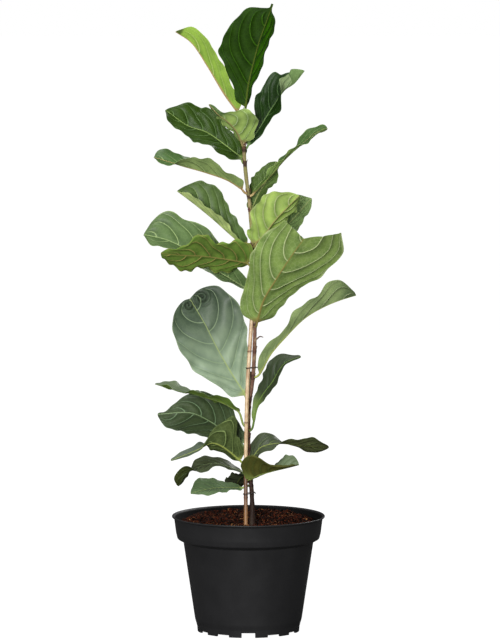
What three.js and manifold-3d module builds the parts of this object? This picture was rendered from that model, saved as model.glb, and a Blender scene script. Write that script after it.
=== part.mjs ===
// A potted fiddle leaf fig about a metre tall: a thin woody stem tied to a bamboo cane, with large
// leathery leaves on short petioles, in soil in a black plastic nursery pot. Millimetres, +Z up. The
// origin is on the surface the pot stands on, under the middle of the pot, and -Y is the front.
// Each leaf is one closed body, lofted through rings from its petiole's root to its blade's tip.
import * as THREE from "three";
import { mergeVertices } from "three/addons/utils/BufferGeometryUtils.js";
import Module from "manifold-3d";

const wasm = await Module();
wasm.setup();

const DEG = Math.PI / 180;
const CLEARANCE = 0.3; // between two pieces that touch

// Pot, from the outside in
const POT_RIM_RADIUS = 120;
const POT_HEIGHT = 182;
const POT_WALL = 1.8;
const POT_SIDES = 48;
const BAND_TOP = { radius: 116.6, z: 178 };
const BAND_CREASE = { radius: 113.6, z: 155 };
const BAND_BOTTOM = { radius: 111.4, z: 146 };
const BODY_TOP = { radius: 102.1, z: 141 };
const BODY_BOTTOM = { radius: 83.9, z: 19 };
const FOOT_TOP = { radius: 81.4, z: 11 };
const FOOT_RADIUS = 80.4;
const FOOT_WALL = 3.2;
const FLOOR_UNDERSIDE = 8;
const FOOT_COUNT = 12;
const NOTCH_ANGLE = 15.7; // degrees of the foot ring that each notch takes
const DEEP_NOTCH = 7.6; // every third notch
const SHALLOW_NOTCH = 3.4;
const LIP = { underside: 2.2, edge: 0.8, bevel: 1.2 }; // how far each is below or inside the rim's top
const FLOOR_FILLET = { radius: 3, z: 2 };
const DRAIN_RADIUS = 5;
const DRAIN_CIRCLE = 52;
const DRAIN_COUNT = 8;
const DRAIN_SIDES = 8;

// Soil
const SOIL_LEVEL = 168; // round the stem
const SOIL_BACK_RISE = 8; // banked up against the back of the pot
const SOIL_BANK = { from: 20, to: 100 }; // how far back the bank starts and ends
const SOIL_LUMP = 1;
const SOIL_RINGS = 7;
const SOIL_SIDES = 36;
const SOIL_MIDDLE_RADIUS = 2;
const FACET_CLEARANCE = 0.25; // the pot's and the soil's flat sides don't line up

// Stem: points on its centre line with the radius there, from its buried foot to its bud, and the dry
// spur of a lost leaf half way up
const STEM = [
  { x: 7, y: -15, z: 118, radius: 3.4 },
  { x: 6, y: -15, z: 150, radius: 5.4 },
  { x: 6, y: -14, z: 170, radius: 5.2 },
  { x: 6, y: -13, z: 192, radius: 3.9 },
  { x: 5, y: -11, z: 223, radius: 3.4 },
  { x: 1, y: -5, z: 262, radius: 3.4 },
  { x: 0, y: 0, z: 301, radius: 3.3 },
  { x: 1, y: 1, z: 356, radius: 3.2 },
  { x: 5, y: 0, z: 384, radius: 3.2 },
  { x: 8, y: -1, z: 411, radius: 3.1 },
  { x: 10, y: -3, z: 466, radius: 3 },
  { x: 10, y: -4, z: 537, radius: 2.9 },
  { x: 8, y: -2, z: 584, radius: 2.9 },
  { x: 6, y: 0, z: 615, radius: 2.9 },
  { x: 2, y: 0, z: 670, radius: 3 },
  { x: -2, y: 0, z: 701, radius: 3 },
  { x: -5, y: 0, z: 729, radius: 3 },
  { x: -7, y: 0, z: 759, radius: 3 },
  { x: -8, y: 1, z: 786, radius: 3 },
  { x: -8, y: 1, z: 806, radius: 2.2 },
  { x: -7, y: 1, z: 822, radius: 0.5 },
];
const SPUR = [
  { x: 10, y: -3, z: 458 },
  { x: 14, y: -4, z: 461 },
  { x: 18, y: -4, z: 464 },
  { x: 23, y: -4, z: 463 },
];
const SPUR_RADIUS = { root: 1.3, tip: 0.7 };
const SPUR_RINGS = 6;
const SPUR_SIDES = 6;
const STEM_RINGS = 48;
const STEM_SIDES = 8;

// Bamboo cane, from its buried end to its top
const CANE = [
  { x: -4, y: -34, z: 60 },
  { x: -4, y: -30, z: 171 },
  { x: -4, y: -21, z: 262 },
  { x: -3, y: -13, z: 334 },
  { x: -1, y: -9, z: 396 },
  { x: 1, y: -6, z: 427 },
  { x: 3, y: -2, z: 459 },
  { x: 5, y: 3, z: 490 },
  { x: 8, y: 6, z: 560 },
  { x: 11, y: 8, z: 640 },
];
const CANE_RADIUS = 3.1;
const CANE_RINGS = 30;
const CANE_SIDES = 8;

// Wire ties round the stem and the cane
const TIES = { lower: 219, upper: 415 };
const TIE = { height: 2, thickness: 0.9, slack: 0.4, steps: 6 };

// Leaf blades
const BLADE_THICKNESS = 0.9;
const BLADE_STATIONS = [0, 0.025, 0.08, 0.18, 0.3, 0.43, 0.56, 0.68, 0.79, 0.88, 0.95, 1];
const BLADE_COLUMNS = [-1, -0.64, -0.3, 0, 0.3, 0.64, 1];
const BLADE_ROOT_HALF_WIDTH = 2.4;
const BLADE_CURL = 10; // degrees that each half bends up by, from its midrib to its edge
const MIDRIB_RIDGE = 1.3; // how far the midrib stands out of the underside at the petiole
const ROUND_LENGTH = 0.12; // the share of the blade over which the petiole's round section flattens
const LOBE = { length: 0.34, power: 1.5 };
const NOTCH = { from: 0.6, power: 1.5 };
const EDGE_POWER = 1.4; // how much of a lobe or a notch is at the edge
const WAVE_OFFSET = 0.37; // how far the right edge's wave is ahead of the left edge's
const WAVE_FULL_WIDTH = 20; // a half narrower than this waves less
const FULL_LEAN = 1 / 3; // the share of a half's width over which its faces come to lean with it
const PETIOLE_RADIUS = 1.7;
const PETIOLE_STATIONS = [0, 0.3, 0.65];
const PETIOLE_BEND = { root: 0.35, base: 0.4 }; // shares of its length that leave and arrive straight
const SECTION_ANGLE = 75; // degrees of the round section that each half's columns go round
const TWIST = [0.1, 0.9];
// The leaves, from the top down. Each hangs on the stem at a height, and its blade runs along a midrib
// of points from its base to its tip. faces is the way its upper side faces, at its base and its tip,
// and twist where along the blade it goes from one to the other. left and right are the widths of its
// halves at HALF_STATIONS, its upper side up and its tip ahead, and fold is how many degrees each half
// stands up from flat (foldTip at the tip). Its edges wave, its base reaches back in two lobes, and at
// a notched tip the halves reach on past the midrib.
const HALF_STATIONS = [0.15, 0.3, 0.45, 0.6, 0.75, 0.9, 1];
const LEAVES = [
  {
    at: 792, faces: [[-0.6, 0.79, 0.3], [-0.6, 0.79, 0.3]], fold: [26, 32],
    midrib: [[-4, -10, 825], [0, -13, 858], [9, -18, 897], [18, -24, 929], [38, -34, 984]],
    left: [20, 36, 47, 54, 48, 24, 2], right: [20, 34, 49, 57, 45, 22, 4],
    wave: 1.5, waves: 2, phase: 0.2, lobe: 1,
  },
  {
    at: 797, faces: [[0.78, 0.35, 0.57], [0.78, 0.35, 0.57]], fold: [48, 48],
    midrib: [[-19, 1, 818], [-36, -6, 842], [-63, -17, 888], [-88, -26, 924], [-113, -30, 941]],
    left: [17, 19, 22, 23, 25, 19, 3], right: [15, 17, 20, 21, 22, 16, 3],
    wave: 1, waves: 2, phase: 0.4, lobe: 3,
  },
  {
    at: 757, faces: [[-0.5, -0.7, 0.4], [-0.6, -0.5, 0.6]], fold: [26, 10], foldTip: [10, 100],
    midrib: [[2, 8, 767], [15, 14, 785], [29, 22, 807], [45, 30, 831], [57, 40, 847], [72, 48, 857],
      [88, 56, 876]],
    left: [10, 20, 33, 36, 38, 26, 4], right: [12, 20, 34, 34, 26, 18, 3],
    wave: 3, waves: 3, phase: 0, lobe: 6,
  },
  {
    at: 762, faces: [[0.5, 0.75, 0.4], [0.5, 0.75, 0.4]], fold: [20, 20],
    midrib: [[-12, -9, 772], [-19, -22, 787], [-32, -36, 802], [-47, -48, 814], [-61, -54, 830]],
    left: [27, 42, 42, 22, 8, 5, 2], right: [20, 28, 28, 18, 8, 5, 2],
    wave: 2.5, waves: 3, phase: 0.6, lobe: 6,
  },
  {
    at: 735, faces: [[0.2, -0.66, 0.7], [0.2, -0.66, 0.7]], fold: [12, 12],
    midrib: [[-13, 7, 744], [-35, 16, 761], [-65, 28, 781], [-95, 38, 791], [-130, 46, 815]],
    left: [22, 33, 40, 34, 22, 18, 3], right: [25, 24, 37, 41, 39, 27, 3],
    wave: 3, waves: 3, phase: 0.3, lobe: 6,
  },
  {
    at: 688, faces: [[0.2, 0.35, 0.9], [0.1, -0.65, 0.75]], twist: [0.55, 0.85], fold: [30, 30],
    midrib: [[-13, -3, 697], [-32, -8, 709], [-65, -12, 721], [-104, -14, 732], [-147, -14, 745]],
    left: [16, 20, 28, 26, 20, 16, 4], right: [16, 20, 26, 26, 20, 14, 4],
    wave: 3, waves: 3, phase: 0.1, lobe: 4,
  },
  {
    at: 598, faces: [[0.58, -0.47, 0.66], [0.58, -0.47, 0.66]], fold: [42, 42],
    midrib: [[-7, -4, 607], [-25, -8, 622], [-55, -14, 649], [-83, -18, 672], [-111, -20, 693]],
    left: [17, 25, 36, 41, 38, 24, 4], right: [17, 25, 36, 41, 39, 30, 5],
    wave: 2.5, waves: 2, phase: 0.5, lobe: 4,
  },
  {
    at: 684, faces: [[-0.65, 0.07, 0.75], [-0.5, -0.25, 0.8]], twist: [0.4, 0.8], fold: [8, 8],
    midrib: [[12, -3, 693], [34, -6, 716], [60, -10, 745], [85, -14, 767], [105, -17, 783],
      [123, -18, 790]],
    left: [14, 17, 18, 18, 19, 18, 9], right: [16, 20, 22, 26, 28, 26, 12],
    wave: 2.5, waves: 3, phase: 0, lobe: 6,
  },
  {
    at: 658, faces: [[-0.5, -0.7, 0.5], [-0.5, -0.7, 0.5]], fold: [14, 14],
    midrib: [[7, 7, 665], [15, 18, 683], [28, 34, 704], [44, 52, 734]],
    left: [12, 18, 22, 23, 21, 13, 3], right: [14, 20, 23, 24, 21, 13, 3],
    wave: 2.5, waves: 2, phase: 0.2, lobe: 6,
  },
  {
    at: 604, faces: [[-0.45, 0.75, 0.45], [-0.45, 0.75, 0.45]], fold: [20, 20],
    midrib: [[14, -11, 614], [26, -20, 627], [41, -32, 648], [60, -42, 669], [79, -48, 688]],
    left: [22, 32, 38, 36, 30, 18, 4], right: [24, 33, 40, 41, 36, 24, 5],
    wave: 3, waves: 3, phase: 0.7, lobe: 8,
  },
  {
    at: 588, faces: [[-0.3, -0.75, 0.6], [-0.3, -0.75, 0.6]], fold: [12, 12],
    midrib: [[22, 13, 606], [43, 26, 620], [67, 40, 641], [99, 54, 676]],
    left: [14, 22, 28, 30, 30, 26, 5], right: [14, 20, 24, 24, 20, 12, 3],
    wave: 3, waves: 3, phase: 0.9, lobe: 6,
  },
  {
    at: 480, faces: [[-0.1, 0.9, 0.3], [-0.1, 0.9, 0.3]], fold: [8, 8],
    midrib: [[15, -14, 494], [24, -26, 524], [41, -38, 554], [65, -50, 592], [86, -58, 622]],
    left: [28, 39, 50, 61, 69, 77, 56], right: [32, 39, 51, 59, 57, 46, 26],
    wave: 4, waves: 2, phase: 0.35, lobe: 4, notch: [30, 6],
  },
  {
    at: 530, faces: [[0.32, -0.67, 0.67], [0.32, -0.67, 0.67]], fold: [24, 24],
    midrib: [[-5, 7, 538], [-29, 24, 552], [-57, 42, 567], [-100, 58, 596], [-131, 66, 610],
      [-165, 72, 617]],
    left: [20, 32, 44, 46, 42, 36, 5], right: [20, 30, 40, 46, 45, 39, 6],
    wave: 3, waves: 3, phase: 0.15, lobe: 6,
  },
  {
    at: 573, faces: [[0.1, 0.57, 0.82], [0.1, 0.57, 0.82]], fold: [6, -12],
    midrib: [[-5, -7, 581], [-41, -18, 588], [-75, -28, 593], [-106, -36, 595], [-136, -42, 598]],
    left: [36, 42, 38, 34, 20, 8, 3], right: [28, 34, 38, 38, 38, 22, 3],
    wave: 3, waves: 3, phase: 0.8, lobe: 6,
  },
  {
    at: 364, faces: [[0.1, -0.9, 0.35], [0.1, -0.9, 0.35]], fold: [6, 6],
    midrib: [[-8, 9, 376], [-26, 16, 403], [-51, 26, 446], [-68, 34, 479], [-92, 42, 519]],
    left: [28, 46, 54, 58, 55, 42, 18], right: [26, 40, 51, 60, 60, 50, 30],
    wave: 3, waves: 3, phase: 0.5, lobe: 6, notch: [6, 12],
  },
  {
    at: 400, faces: [[-0.55, 0.4, 0.75], [-0.4, 0.4, 0.85]], fold: [30, 30],
    midrib: [[22, -4, 413], [35, -8, 437], [57, -12, 463], [88, -15, 494], [118, -17, 512],
      [142, -18, 522], [168, -18, 530]],
    left: [14, 15, 20, 26, 32, 28, 8], right: [12, 11, 18, 23, 32, 40, 20],
    wave: 3, waves: 3, phase: 0.3, lobe: 4,
  },
  {
    at: 316, faces: [[-0.5, -0.75, 0.4], [-0.4, -0.6, 0.7]], fold: [16, 16],
    midrib: [[12, -6, 355], [26, -12, 378], [38, -15, 394], [49, -18, 414], [59, -18, 425],
      [82, -18, 434]],
    left: [12, 16, 20, 21, 20, 7, 4], right: [10, 14, 16, 10, 6, 7, 4],
    wave: 2, waves: 2, phase: 0.9, lobe: 4,
  },
  {
    at: 322, faces: [[0.3, 0.3, 0.9], [0.1, -0.12, 0.97]], fold: [6, 4],
    midrib: [[-19, -5, 349], [-41, -10, 361], [-76, -14, 372], [-110, -17, 381], [-146, -20, 391]],
    left: [16, 22, 28, 32, 32, 24, 4], right: [16, 22, 28, 32, 32, 24, 4],
    wave: 2.5, waves: 3, phase: 0.6, lobe: 6,
  },
  {
    at: 288, faces: [[0.2, -0.75, 0.6], [0.2, -0.75, 0.6]], fold: [8, 8],
    midrib: [[-13, 7, 296], [-36, 16, 311], [-63, 26, 328], [-91, 34, 339], [-143, 42, 336]],
    left: [24, 34, 44, 46, 42, 28, 5], right: [24, 36, 44, 39, 27, 5, 3],
    wave: 2.5, waves: 3, phase: 0.1, lobe: 6,
  },
  {
    at: 262, faces: [[0.3, 0.8, 0.45], [0.1, -0.5, 0.85]], twist: [0.35, 0.65], fold: [20, 10],
    midrib: [[-17, -10, 273], [-34, -18, 288], [-46, -24, 296], [-58, -28, 299], [-81, -32, 288],
      [-121, -38, 273]],
    left: [20, 43, 30, 12, 9, 8, 3], right: [14, 22, 24, 15, 10, 7, 3],
    wave: 3, waves: 3, phase: 0.4, lobe: 2,
  },
  {
    at: 248, faces: [[0.1, -0.25, 0.95], [-0.8, 0.5, 0.3]], twist: [0.6, 0.85], fold: [4, 8],
    midrib: [[-13, -6, 252], [-32, -12, 260], [-57, -18, 266], [-83, -22, 258], [-98, -24, 250],
      [-110, -24, 231]],
    left: [16, 22, 28, 30, 24, 20, 6], right: [14, 19, 24, 20, 14, 18, 6],
    wave: 2.5, waves: 3, phase: 0.2, lobe: 4,
  },
  {
    at: 230, faces: [[0, -0.33, 0.94], [0, -0.33, 0.94]], fold: [8, 8],
    midrib: [[-14, -12, 226], [-37, -20, 228], [-63, -30, 227], [-90, -38, 221]],
    left: [12, 18, 24, 28, 28, 18, 3], right: [12, 18, 24, 28, 28, 18, 3],
    wave: 2.5, waves: 3, phase: 0.6, lobe: 4,
  },
  {
    at: 238, faces: [[0, 0.4, 0.9], [0, 0.4, 0.9]], fold: [8, 8],
    midrib: [[-4, 2, 244], [-10, 16, 241], [-16, 34, 231], [-20, 54, 217]],
    left: [12, 15, 18, 20, 20, 14, 3], right: [12, 15, 18, 20, 20, 14, 3],
    wave: 2.5, waves: 3, phase: 0.3, lobe: 4,
  },
  {
    at: 266, faces: [[-0.3, -0.5, 0.8], [0, 0.35, 0.93]], twist: [0.25, 0.55],
    fold: [10, 10], foldTip: [-14, 4],
    midrib: [[10, -5, 279], [18, -8, 289], [47, -10, 296], [88, -12, 293], [126, -14, 291]],
    left: [18, 19, 15, 25, 29, 22, 5], right: [14, 18, 18, 24, 28, 22, 5],
    wave: 2, waves: 3, phase: 0.5, lobe: 3,
  },
  {
    at: 242, faces: [[0.2, 0.6, 0.8], [0, -0.1, 0.95]], fold: [16, 20],
    midrib: [[10, -17, 248], [21, -28, 252], [41, -40, 257], [60, -46, 262], [79, -50, 268]],
    left: [18, 26, 32, 34, 28, 16, 3], right: [20, 36, 24, 8, 4, 3, 2],
    wave: 2, waves: 3, phase: 0.1, lobe: 1,
  },
];

const vec = (x, y, z) => new THREE.Vector3(x, y, z);
const material = (color, roughness) => new THREE.MeshStandardMaterial({ color, roughness, metalness: 0 });

// A value read off a list of [position, value] knots by a cubic through them
function alongKnots(knots, s) {
  let i = 0;
  while (i < knots.length - 2 && s > knots[i + 1][0]) i++;
  const slope = (j) => {
    const a = knots[Math.max(j - 1, 0)];
    const b = knots[Math.min(j + 1, knots.length - 1)];
    return (b[1] - a[1]) / (b[0] - a[0]);
  };
  const [s0, v0] = knots[i];
  const [s1, v1] = knots[i + 1];
  const span = s1 - s0;
  const u = (s - s0) / span;
  const rise = v0 * (1 + 2 * u) * (1 - u) ** 2 + v1 * u * u * (3 - 2 * u);
  return rise + span * u * (1 - u) * (slope(i) * (1 - u) - slope(i + 1) * u);
}

// A closed body through rings that all have the same number of points. Each end is closed by stitching
// the first half of its ring to the second half, and the two halves are split into triangles alike, so
// that the two faces of a thin waved blade don't cross.
function loft(rings) {
  const around = rings[0].length;
  const half = around / 2;
  const triangles = [];
  const quad = (a, b, c, d) => triangles.push(a, b, c, a, c, d);
  for (let i = 0; i + 1 < rings.length; i++) {
    for (let j = 0; j < around; j++) {
      const next = (j + 1) % around;
      const corners = [rings[i][j], rings[i][next], rings[i + 1][next], rings[i + 1][j]];
      if (j < half) quad(...corners);
      else quad(corners[1], corners[2], corners[3], corners[0]);
    }
  }
  const last = rings[rings.length - 1];
  for (let j = 0; j + 1 < half; j++) {
    const k = around - 1 - j;
    quad(rings[0][j], rings[0][k], rings[0][k - 1], rings[0][j + 1]);
    quad(last[j], last[j + 1], last[k - 1], last[k]);
  }
  return new THREE.BufferGeometry().setFromPoints(triangles);
}

// A level ring of points round a middle
function levelRing(middle, radius, sides, heightAt = () => middle.z) {
  return Array.from({ length: sides }, (_, j) => {
    const turn = (2 * Math.PI * j) / sides;
    const x = middle.x + radius * Math.cos(turn);
    const y = middle.y + radius * Math.sin(turn);
    return vec(x, y, heightAt(x, y));
  });
}

const pathOf = (points) => new THREE.CatmullRomCurve3(points.map((p) => vec(p.x, p.y, p.z)));

// A body through level rings along a path
function tube(path, rings, sides, radiusAt) {
  const shares = Array.from({ length: rings }, (_, i) => i / (rings - 1));
  return loft(shares.map((t) => levelRing(path.getPoint(t), radiusAt(t), sides)));
}

function solidOf(geometry) {
  const bare = geometry.clone();
  bare.deleteAttribute("normal");
  bare.deleteAttribute("uv");
  const merged = mergeVertices(bare, 1e-3);
  const vertProperties = new Float32Array(merged.attributes.position.array);
  const triVerts = new Uint32Array(merged.index.array);
  return new wasm.Manifold(new wasm.Mesh({ numProp: 3, vertProperties, triVerts }));
}

function geometryOf(solid) {
  const mesh = solid.getMesh();
  const positions = new THREE.BufferAttribute(new Float32Array(mesh.vertProperties), 3);
  return new THREE.BufferGeometry().setAttribute("position", positions).setIndex([...mesh.triVerts]);
}

const stemPath = pathOf(STEM);
const canePath = pathOf(CANE);

function stemRadiusAt(t) {
  const along = t * (STEM.length - 1);
  const i = Math.min(Math.floor(along), STEM.length - 2);
  return THREE.MathUtils.lerp(STEM[i].radius, STEM[i + 1].radius, along - i);
}

// Where along a rising path a height is
function shareAtHeight(path, height) {
  let low = 0;
  let high = 1;
  for (let i = 0; i < 30; i++) {
    const middle = (low + high) / 2;
    if (path.getPoint(middle).z < height) low = middle;
    else high = middle;
  }
  return low;
}

function stemAt(height) {
  const share = shareAtHeight(stemPath, height);
  return { centre: stemPath.getPoint(share), radius: stemRadiusAt(share) };
}

// Where a leaf's midrib is at s, and there its direction, the way to its left and the way it faces
function midribFrame(leaf, s) {
  const curve = new THREE.CatmullRomCurve3(leaf.midrib.map((p) => vec(...p)), false, "centripetal");
  const point = curve.getPointAt(s);
  const along = curve.getTangentAt(s);
  const [atBase, atTip] = leaf.faces.map((way) => vec(...way).normalize());
  const [from, to] = leaf.twist ?? TWIST;
  const facing = atBase.lerp(atTip, THREE.MathUtils.smoothstep(s, from, to));
  const left = facing.cross(along).normalize();
  return { point, along, left, face: along.clone().cross(left) };
}

// The width of one of a leaf's halves at s
function halfWidth(leaf, half, s) {
  const widths = half === 0 ? leaf.left : leaf.right;
  const knots = HALF_STATIONS.map((at, i) => [at, widths[i]]);
  return alongKnots([[0, BLADE_ROOT_HALF_WIDTH], [0.04, widths[0] * 0.75], ...knots], s);
}

// The two faces' points across the blade at s: the halves fold and curl up, their edges wave, and they
// reach back at the base and on at a notched tip
function bladeRing(leaf, s) {
  const { point, along, left, face } = midribFrame(leaf, s);
  const nearRoot = Math.max(0, 1 - s / ROUND_LENGTH);
  const reachBack = leaf.lobe * Math.max(0, 1 - s / LOBE.length) ** LOBE.power;
  const reachOn = Math.max(0, (s - NOTCH.from) / (1 - NOTCH.from)) ** NOTCH.power;
  const bent = THREE.MathUtils.smoothstep(s, 0.3, 1);
  const curl = BLADE_CURL * DEG;
  const top = [];
  const bottom = [];
  for (const v of BLADE_COLUMNS) {
    const half = v < 0 ? 0 : 1;
    const hand = 1 - 2 * half;
    const reach = Math.abs(v);
    const width = halfWidth(leaf, half, s);
    const foldTip = (leaf.foldTip ?? leaf.fold)[half];
    const fold = THREE.MathUtils.lerp(leaf.fold[half], foldTip, bent) * DEG;
    const tilt = fold + curl * reach;
    const across = (width * (Math.sin(tilt) - Math.sin(fold))) / curl;
    const lift = (width * (Math.cos(fold) - Math.cos(tilt))) / curl;
    const cycle = 2 * Math.PI * (leaf.waves * s + leaf.phase + WAVE_OFFSET * half);
    const wave = leaf.wave * reach ** 2 * Math.sin(cycle) * Math.min(1, width / WAVE_FULL_WIDTH);
    const shift = ((leaf.notch?.[half] ?? 0) * reachOn - reachBack) * reach ** EDGE_POWER;
    const middle = point.clone().addScaledVector(left, hand * across);
    middle.addScaledVector(face, lift + wave).addScaledVector(along, shift);
    const lean = tilt * Math.min(1, reach / FULL_LEAN);
    const normal = face.clone().multiplyScalar(Math.cos(lean));
    normal.addScaledVector(left, -hand * Math.sin(lean));
    const round = PETIOLE_RADIUS * Math.cos(v * SECTION_ANGLE * DEG) * nearRoot;
    const ridge = v === 0 ? MIDRIB_RIDGE * (1 - s) : 0;
    top.push(middle.clone().addScaledVector(normal, Math.max(BLADE_THICKNESS / 2, round)));
    bottom.push(middle.clone().addScaledVector(normal, -Math.max(BLADE_THICKNESS / 2 + ridge, round)));
  }
  return [...top, ...bottom.reverse()];
}

// A round petiole's points at t, in the same order as a blade's
function petioleRing(curve, t, facing) {
  const centre = curve.getPoint(t);
  const along = curve.getTangent(t);
  const left = facing.clone().cross(along).normalize();
  const face = along.clone().cross(left);
  const on = (v, side) => {
    const turn = v * SECTION_ANGLE * DEG;
    const point = centre.clone().addScaledVector(left, -Math.sin(turn) * PETIOLE_RADIUS);
    return point.addScaledVector(face, side * Math.cos(turn) * PETIOLE_RADIUS);
  };
  return [...BLADE_COLUMNS.map((v) => on(v, 1)), ...BLADE_COLUMNS.map((v) => on(-v, -1))];
}

// One leaf: its petiole leaves the stem square to it and bends into its midrib
function leafGeometry(leaf) {
  const stem = stemAt(leaf.at);
  const base = midribFrame(leaf, 0);
  const outward = base.point.clone().sub(stem.centre).setZ(0).normalize();
  const root = stem.centre.clone().addScaledVector(outward, stem.radius + CLEARANCE);
  const length = root.distanceTo(base.point);
  const petiole = new THREE.CubicBezierCurve3(
    root,
    root.clone().addScaledVector(outward, length * PETIOLE_BEND.root),
    base.point.clone().addScaledVector(base.along, -length * PETIOLE_BEND.base),
    base.point,
  );
  return loft([
    ...PETIOLE_STATIONS.map((t) => petioleRing(petiole, t, t === 0 ? vec(0, 0, 1) : base.face)),
    ...BLADE_STATIONS.map((s) => bladeRing(leaf, s)),
  ]);
}

function potGeometry() {
  const inner = (p, wall = POT_WALL) => new THREE.Vector2(p.radius - wall, p.z);
  const outer = (p) => new THREE.Vector2(p.radius, p.z);
  const footInner = FOOT_RADIUS - FOOT_WALL;
  const floorTop = FLOOR_UNDERSIDE + POT_WALL;
  const profile = [
    new THREE.Vector2(0, FLOOR_UNDERSIDE),
    new THREE.Vector2(footInner - 1, FLOOR_UNDERSIDE),
    new THREE.Vector2(footInner, 0),
    new THREE.Vector2(FOOT_RADIUS, 0),
    outer(FOOT_TOP),
    outer(BODY_BOTTOM),
    outer(BODY_TOP),
    outer(BAND_BOTTOM),
    outer(BAND_CREASE),
    outer(BAND_TOP),
    new THREE.Vector2(POT_RIM_RADIUS, POT_HEIGHT - LIP.underside),
    new THREE.Vector2(POT_RIM_RADIUS, POT_HEIGHT - LIP.edge),
    new THREE.Vector2(POT_RIM_RADIUS - LIP.bevel, POT_HEIGHT),
    new THREE.Vector2(BAND_TOP.radius - POT_WALL, BAND_TOP.z + 1),
    inner(BAND_CREASE),
    new THREE.Vector2(BAND_BOTTOM.radius - POT_WALL, BAND_BOTTOM.z + POT_WALL),
    new THREE.Vector2(BODY_TOP.radius - POT_WALL, BODY_TOP.z + POT_WALL),
    inner(BODY_BOTTOM),
    new THREE.Vector2(FOOT_TOP.radius - POT_WALL, floorTop + FLOOR_FILLET.z),
    new THREE.Vector2(FOOT_TOP.radius - POT_WALL - FLOOR_FILLET.radius, floorTop),
    new THREE.Vector2(0, floorTop),
  ];
  let pot = solidOf(new THREE.LatheGeometry(profile, POT_SIDES).rotateX(Math.PI / 2));
  for (let i = 0; i < FOOT_COUNT; i++) {
    const depth = i % 3 === 0 ? DEEP_NOTCH : SHALLOW_NOTCH;
    const width = 2 * FOOT_RADIUS * Math.sin((NOTCH_ANGLE / 2) * DEG);
    const notch = new THREE.BoxGeometry(FOOT_WALL * 4, width, depth * 2);
    notch.translate(FOOT_RADIUS, 0, 0).rotateZ((i * 360 * DEG) / FOOT_COUNT - Math.PI / 2);
    pot = pot.subtract(solidOf(notch));
  }
  for (let i = 0; i < DRAIN_COUNT; i++) {
    const drain = new THREE.CylinderGeometry(DRAIN_RADIUS, DRAIN_RADIUS, POT_WALL * 4, DRAIN_SIDES);
    drain.rotateX(Math.PI / 2).translate(DRAIN_CIRCLE, 0, FLOOR_UNDERSIDE);
    drain.rotateZ(((i + 0.5) * 2 * Math.PI) / DRAIN_COUNT);
    pot = pot.subtract(solidOf(drain));
  }
  return geometryOf(pot);
}

// The soil's surface: level round the stem, banked up towards the back, with small lumps
function soilHeight(x, y) {
  const bank = THREE.MathUtils.smoothstep(y, SOIL_BANK.from, SOIL_BANK.to);
  const lumps = Math.sin(x * 0.13 + 1.2) * Math.cos(y * 0.17) + 0.6 * Math.sin(x * 0.31 - y * 0.23 + 0.7);
  return SOIL_LEVEL + SOIL_BACK_RISE * bank + SOIL_LUMP * lumps;
}

// The soil fills the pot up to its band, with plain holes where the stem and the cane stand
function soilGeometry() {
  const wall = POT_WALL + CLEARANCE + FACET_CLEARANCE;
  const bottom = FLOOR_UNDERSIDE + POT_WALL + CLEARANCE;
  const side = [
    { radius: FOOT_TOP.radius - wall - FLOOR_FILLET.radius - CLEARANCE, z: bottom },
    { radius: FOOT_TOP.radius - wall - CLEARANCE, z: bottom + FLOOR_FILLET.z + CLEARANCE },
    { radius: BODY_BOTTOM.radius - wall, z: BODY_BOTTOM.z },
    { radius: BODY_TOP.radius - wall, z: BODY_TOP.z + POT_WALL },
    { radius: BAND_BOTTOM.radius - wall - CLEARANCE, z: BAND_BOTTOM.z + POT_WALL + CLEARANCE },
    { radius: BAND_CREASE.radius - wall, z: BAND_CREASE.z },
  ];
  const rings = side.map((p) => levelRing(vec(0, 0, p.z), p.radius, SOIL_SIDES));
  const edge = BAND_CREASE.radius - POT_WALL;
  for (let i = 0; i < SOIL_RINGS; i++) {
    rings.push(levelRing(vec(0, 0, 0), edge * (1 - i / SOIL_RINGS), SOIL_SIDES, soilHeight));
  }
  rings.push(levelRing(vec(0, 0, 0), SOIL_MIDDLE_RADIUS, SOIL_SIDES, soilHeight));
  const stemHole = tube(stemPath, STEM_RINGS, STEM_SIDES, (t) => stemRadiusAt(t) + CLEARANCE);
  const caneHole = tube(canePath, CANE_RINGS, CANE_SIDES, () => CANE_RADIUS + CLEARANCE);
  return geometryOf(solidOf(loft(rings)).subtract(solidOf(stemHole)).subtract(solidOf(caneHole)));
}

// The stem with its spur
function stemGeometry() {
  const taper = (t) => THREE.MathUtils.lerp(SPUR_RADIUS.root, SPUR_RADIUS.tip, t);
  const spur = solidOf(tube(pathOf(SPUR), SPUR_RINGS, SPUR_SIDES, taper));
  return geometryOf(solidOf(tube(stemPath, STEM_RINGS, STEM_SIDES, stemRadiusAt)).add(spur));
}

// A wire tie at a height: a flat oval band
function tieGeometry(height) {
  const stem = stemAt(height);
  const cane = canePath.getPoint(shareAtHeight(canePath, height));
  const apart = stem.centre.clone().sub(cane).setZ(0);
  const middle = stem.centre.clone().lerp(cane, 0.5);
  const radius = Math.max(stem.radius, CANE_RADIUS) + CLEARANCE + TIE.slack;
  const oval = (grow) => {
    const reach = apart.length() / 2;
    const shape = new THREE.Shape();
    shape.absarc(reach, 0, radius + grow, -Math.PI / 2, Math.PI / 2);
    shape.absarc(-reach, 0, radius + grow, Math.PI / 2, (3 * Math.PI) / 2);
    return shape;
  };
  const band = oval(TIE.thickness);
  band.holes.push(new THREE.Path(oval(0).getPoints(TIE.steps).reverse()));
  const settings = { depth: TIE.height, bevelEnabled: false, curveSegments: TIE.steps };
  const tie = new THREE.ExtrudeGeometry(band, settings).rotateZ(Math.atan2(apart.y, apart.x));
  return tie.translate(middle.x, middle.y, height - TIE.height / 2);
}

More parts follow.
